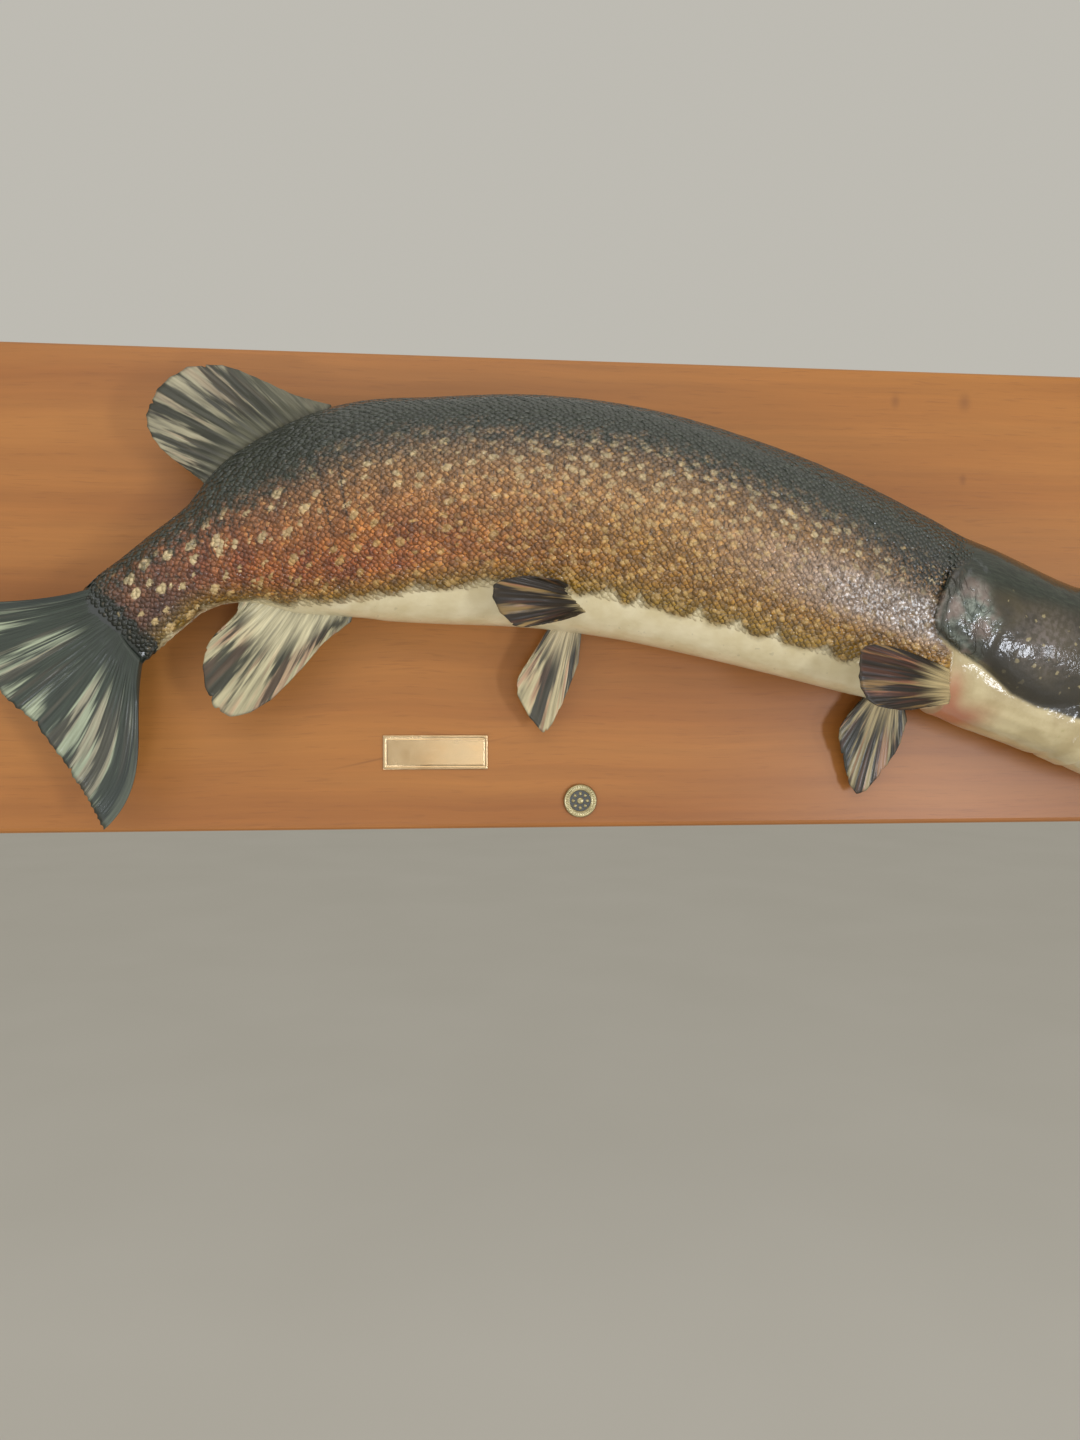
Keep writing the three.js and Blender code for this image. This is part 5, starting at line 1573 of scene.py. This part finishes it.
def buildMedallion():
    # a stamped disc: rolled rim, a ring of small beads, a sunk enamel field with a ring of round studs
    # and a boss in the middle. Height h(r, a) = rim profile + bead cos(n a) + studs and boss as caps
    form = medalForm
    back, field, outer = form["back"], form["field"], form["radius"]
    sunk, shoulder = (share * form["thick"] for share in form["levels"])
    radius = np.concatenate([np.linspace(0.0, field, 44)[1:], np.linspace(field + 0.12, outer, 34)])
    angle = np.arange(form["columns"]) * tau / form["columns"]
    r, a = radius[:, None], angle[None, :]
    height = np.where(r < field, sunk, shoulder) + 0 * a
    for place, wide, high in ((outer - 1.1, 0.5, 0.4), (field + 0.5, 0.35, 0.3)):
        height = height + high * bell((r - place) / wide)
    beads = np.maximum(0, np.cos(form["beads"] * a)) ** 0.6
    height = height + 0.34 * beads * np.exp(-(((r - (field + outer) / 2) / 0.75) ** 4))
    ring, size, high = form["stud"]
    turn = (a * form["studs"] / tau + 0.5) % 1 - 0.5
    stud = np.hypot(r - ring, turn * tau / form["studs"] * ring) / size
    height = height + high * np.sqrt(np.clip(1 - stud**2, 0, 1))
    size, high = form["boss"]
    height = height + high * np.sqrt(np.clip(1 - (r / size) ** 2, 0, 1))
    edge = np.clip((outer - r) / 0.5, 0, 1)
    height = height * np.sqrt(np.clip(1 - (1 - edge) ** 2, 0, 1))
    points = np.stack([form["x"] + r * np.cos(a), back - height, form["z"] + r * np.sin(a)], -1)
    middle = [(form["x"], back - sunk - high, form["z"]), (form["x"], back, form["z"])]
    points = np.concatenate([points.reshape(-1, 3), middle])

    rows, columns = height.shape
    around, last = np.arange(columns), (rows - 1) * columns
    after = (around + 1) % columns
    fan = np.stack([np.full(columns, len(points) - 2), around, after], 1)
    bottom = np.stack([np.full(columns, len(points) - 1), last + after, last + around], 1)
    quads = gridFaces(rows, columns, closed=True)[:, ::-1]
    raised = (height - sunk).reshape(-1)[quads].max(1) > 0.03
    inField = r.repeat(columns, 1).reshape(-1)[quads].mean(1) < field
    enamel = np.concatenate([(inField & ~raised).astype(int), np.zeros(2 * columns, int)])
    makePiece("medallion", points, [quads, fan, bottom],
              [rolledBrass("stamped lacquered brass", form), blackEnamel()],
              ["medallion"], faceMaterial=enamel)


buildPlate()
buildMedallion()

scene.view_settings.view_transform = "Standard"

view = {
    "place": (-118.6, -874.5, -69.05), "yaw": 5.837, "pitch": -2.0, "roll": 0.15,  # mm and degrees
    "lens": 27.025, "film": 36.0,  # mm, the film along its long side
}


def standAt(thing, place, ahead, roll=0.0):
    # puts a camera or lamp at a place in metres, looking along ahead: its axes are right, up and -ahead
    ahead = ahead / np.linalg.norm(ahead)
    right = np.cross(ahead, (0, 0, 1))
    right /= np.linalg.norm(right)
    up = np.cross(right, ahead)
    right, up = (right * math.cos(roll) + up * math.sin(roll), up * math.cos(roll) - right * math.sin(roll))
    rows = [[right[k], up[k], -ahead[k], place[k]] for k in range(3)]
    thing.matrix_world = Matrix(rows + [[0, 0, 0, 1]])
    scene.collection.objects.link(thing)


def placeCamera():
    # looks along (sin yaw cos pitch, cos yaw cos pitch, sin pitch)
    yaw, pitch, roll = (math.radians(view[key]) for key in ("yaw", "pitch", "roll"))
    ahead = np.array([math.sin(yaw) * math.cos(pitch), math.cos(yaw) * math.cos(pitch), math.sin(pitch)])
    data = bpy.data.cameras.new("camera")
    data.lens, data.sensor_width, data.sensor_fit = view["lens"], view["film"], "AUTO"
    data.clip_start = 0.05
    camera = bpy.data.objects.new("camera", data)
    standAt(camera, np.array(view["place"]) * 0.001, ahead, roll)
    scene.camera = camera


# area lamps: place and aim in metres, width and height, watts, colour. The windows give the varnish its
# gloss, and the brass reflects "mirror"
lamps = {
    "window": ((1.34, -2.1, -0.46), (0.2, -0.1, 0.0), 0.32, 0.6, 15, "#eef4ff"),
    "side window": ((2.2, -1.75, -0.4), (0.3, -0.1, 0.0), 0.26, 0.4, 5, "#f0f5ff"),
    "low window": ((-0.36, -1.1, -0.64), (-0.3, -0.09, 0.0), 0.2, 0.15, 1.7, "#e9eef6"),
    "room": ((-0.3, -2.6, 1.5), (0.0, 0.0, 0.0), 2.4, 1.6, 22, "#fffaf2"),
    "ceiling": ((-0.1, -0.7, 2.1), (0.0, -0.1, 0.0), 2.4, 1.2, 8, "#f7f9ff"),
    "mirror": ((0.11, -2.0, -0.25), (-0.1, 0.0, -0.12), 0.5, 0.4, 1.0, "#fffdf8"),
    "fill": ((-2.0, -2.1, -0.3), (-0.1, -0.06, 0.0), 1.2, 1.6, 8, "#f4f6ff"),
}
roomLight = {"colour": "#ccc9c0", "strength": 0.85}  # light from all round


def placeLamps():
    # area lamps turned to what they aim at, and an even light from all round
    for name, (place, aim, width, height, power, colour) in lamps.items():
        data = bpy.data.lights.new(name, "AREA")
        data.shape, data.size, data.size_y, data.energy = "RECTANGLE", width, height, power
        data.color = toLinear(colour)[:3]
        lamp = bpy.data.objects.new(name, data)
        standAt(lamp, place, np.array(aim) - np.array(place))
    world = bpy.data.worlds.new("pale room")
    world.use_nodes = True
    sky = world.node_tree.nodes["Background"]
    sky.inputs["Color"].default_value = toLinear(roomLight["colour"])
    sky.inputs["Strength"].default_value = roomLight["strength"]
    scene.world = world


floorPlane = {"drop": 1.15, "reach": 60.0, "dark": "#c9c6be", "light": "#d0cdc6"}  # metres down, half width


def paleScreed():
    # plain painted screed, faintly mottled
    material, add, shader = startMaterial("pale matt floor", Roughness=0.85)
    place = add("TexCoord", out="Object")
    mottle = add("TexNoise", Vector=place, Scale=2.0, Detail=2.0)  # half a metre
    colour = add("Mix", mottle, toLinear(floorPlane["dark"]), toLinear(floorPlane["light"]))
    plug(colour, shader, "Base Color")
    return material


def placeFloor():
    # one square, so wide that its far edge looks like a horizon
    reach, drop = floorPlane["reach"], floorPlane["drop"]
    mesh = bpy.data.meshes.new("floor")
    corners = [(x * reach, y * reach, -drop) for x, y in ((-1, -1), (1, -1), (1, 1), (-1, 1))]
    mesh.from_pydata(corners, [], [(0, 1, 2, 3)])
    mesh.materials.append(paleScreed())
    floor = bpy.data.objects.new("floor", mesh)
    scene.collection.objects.link(floor)


placeCamera()
placeLamps()
placeFloor()
print("camera,", len(lamps), "lamps and floor placed")
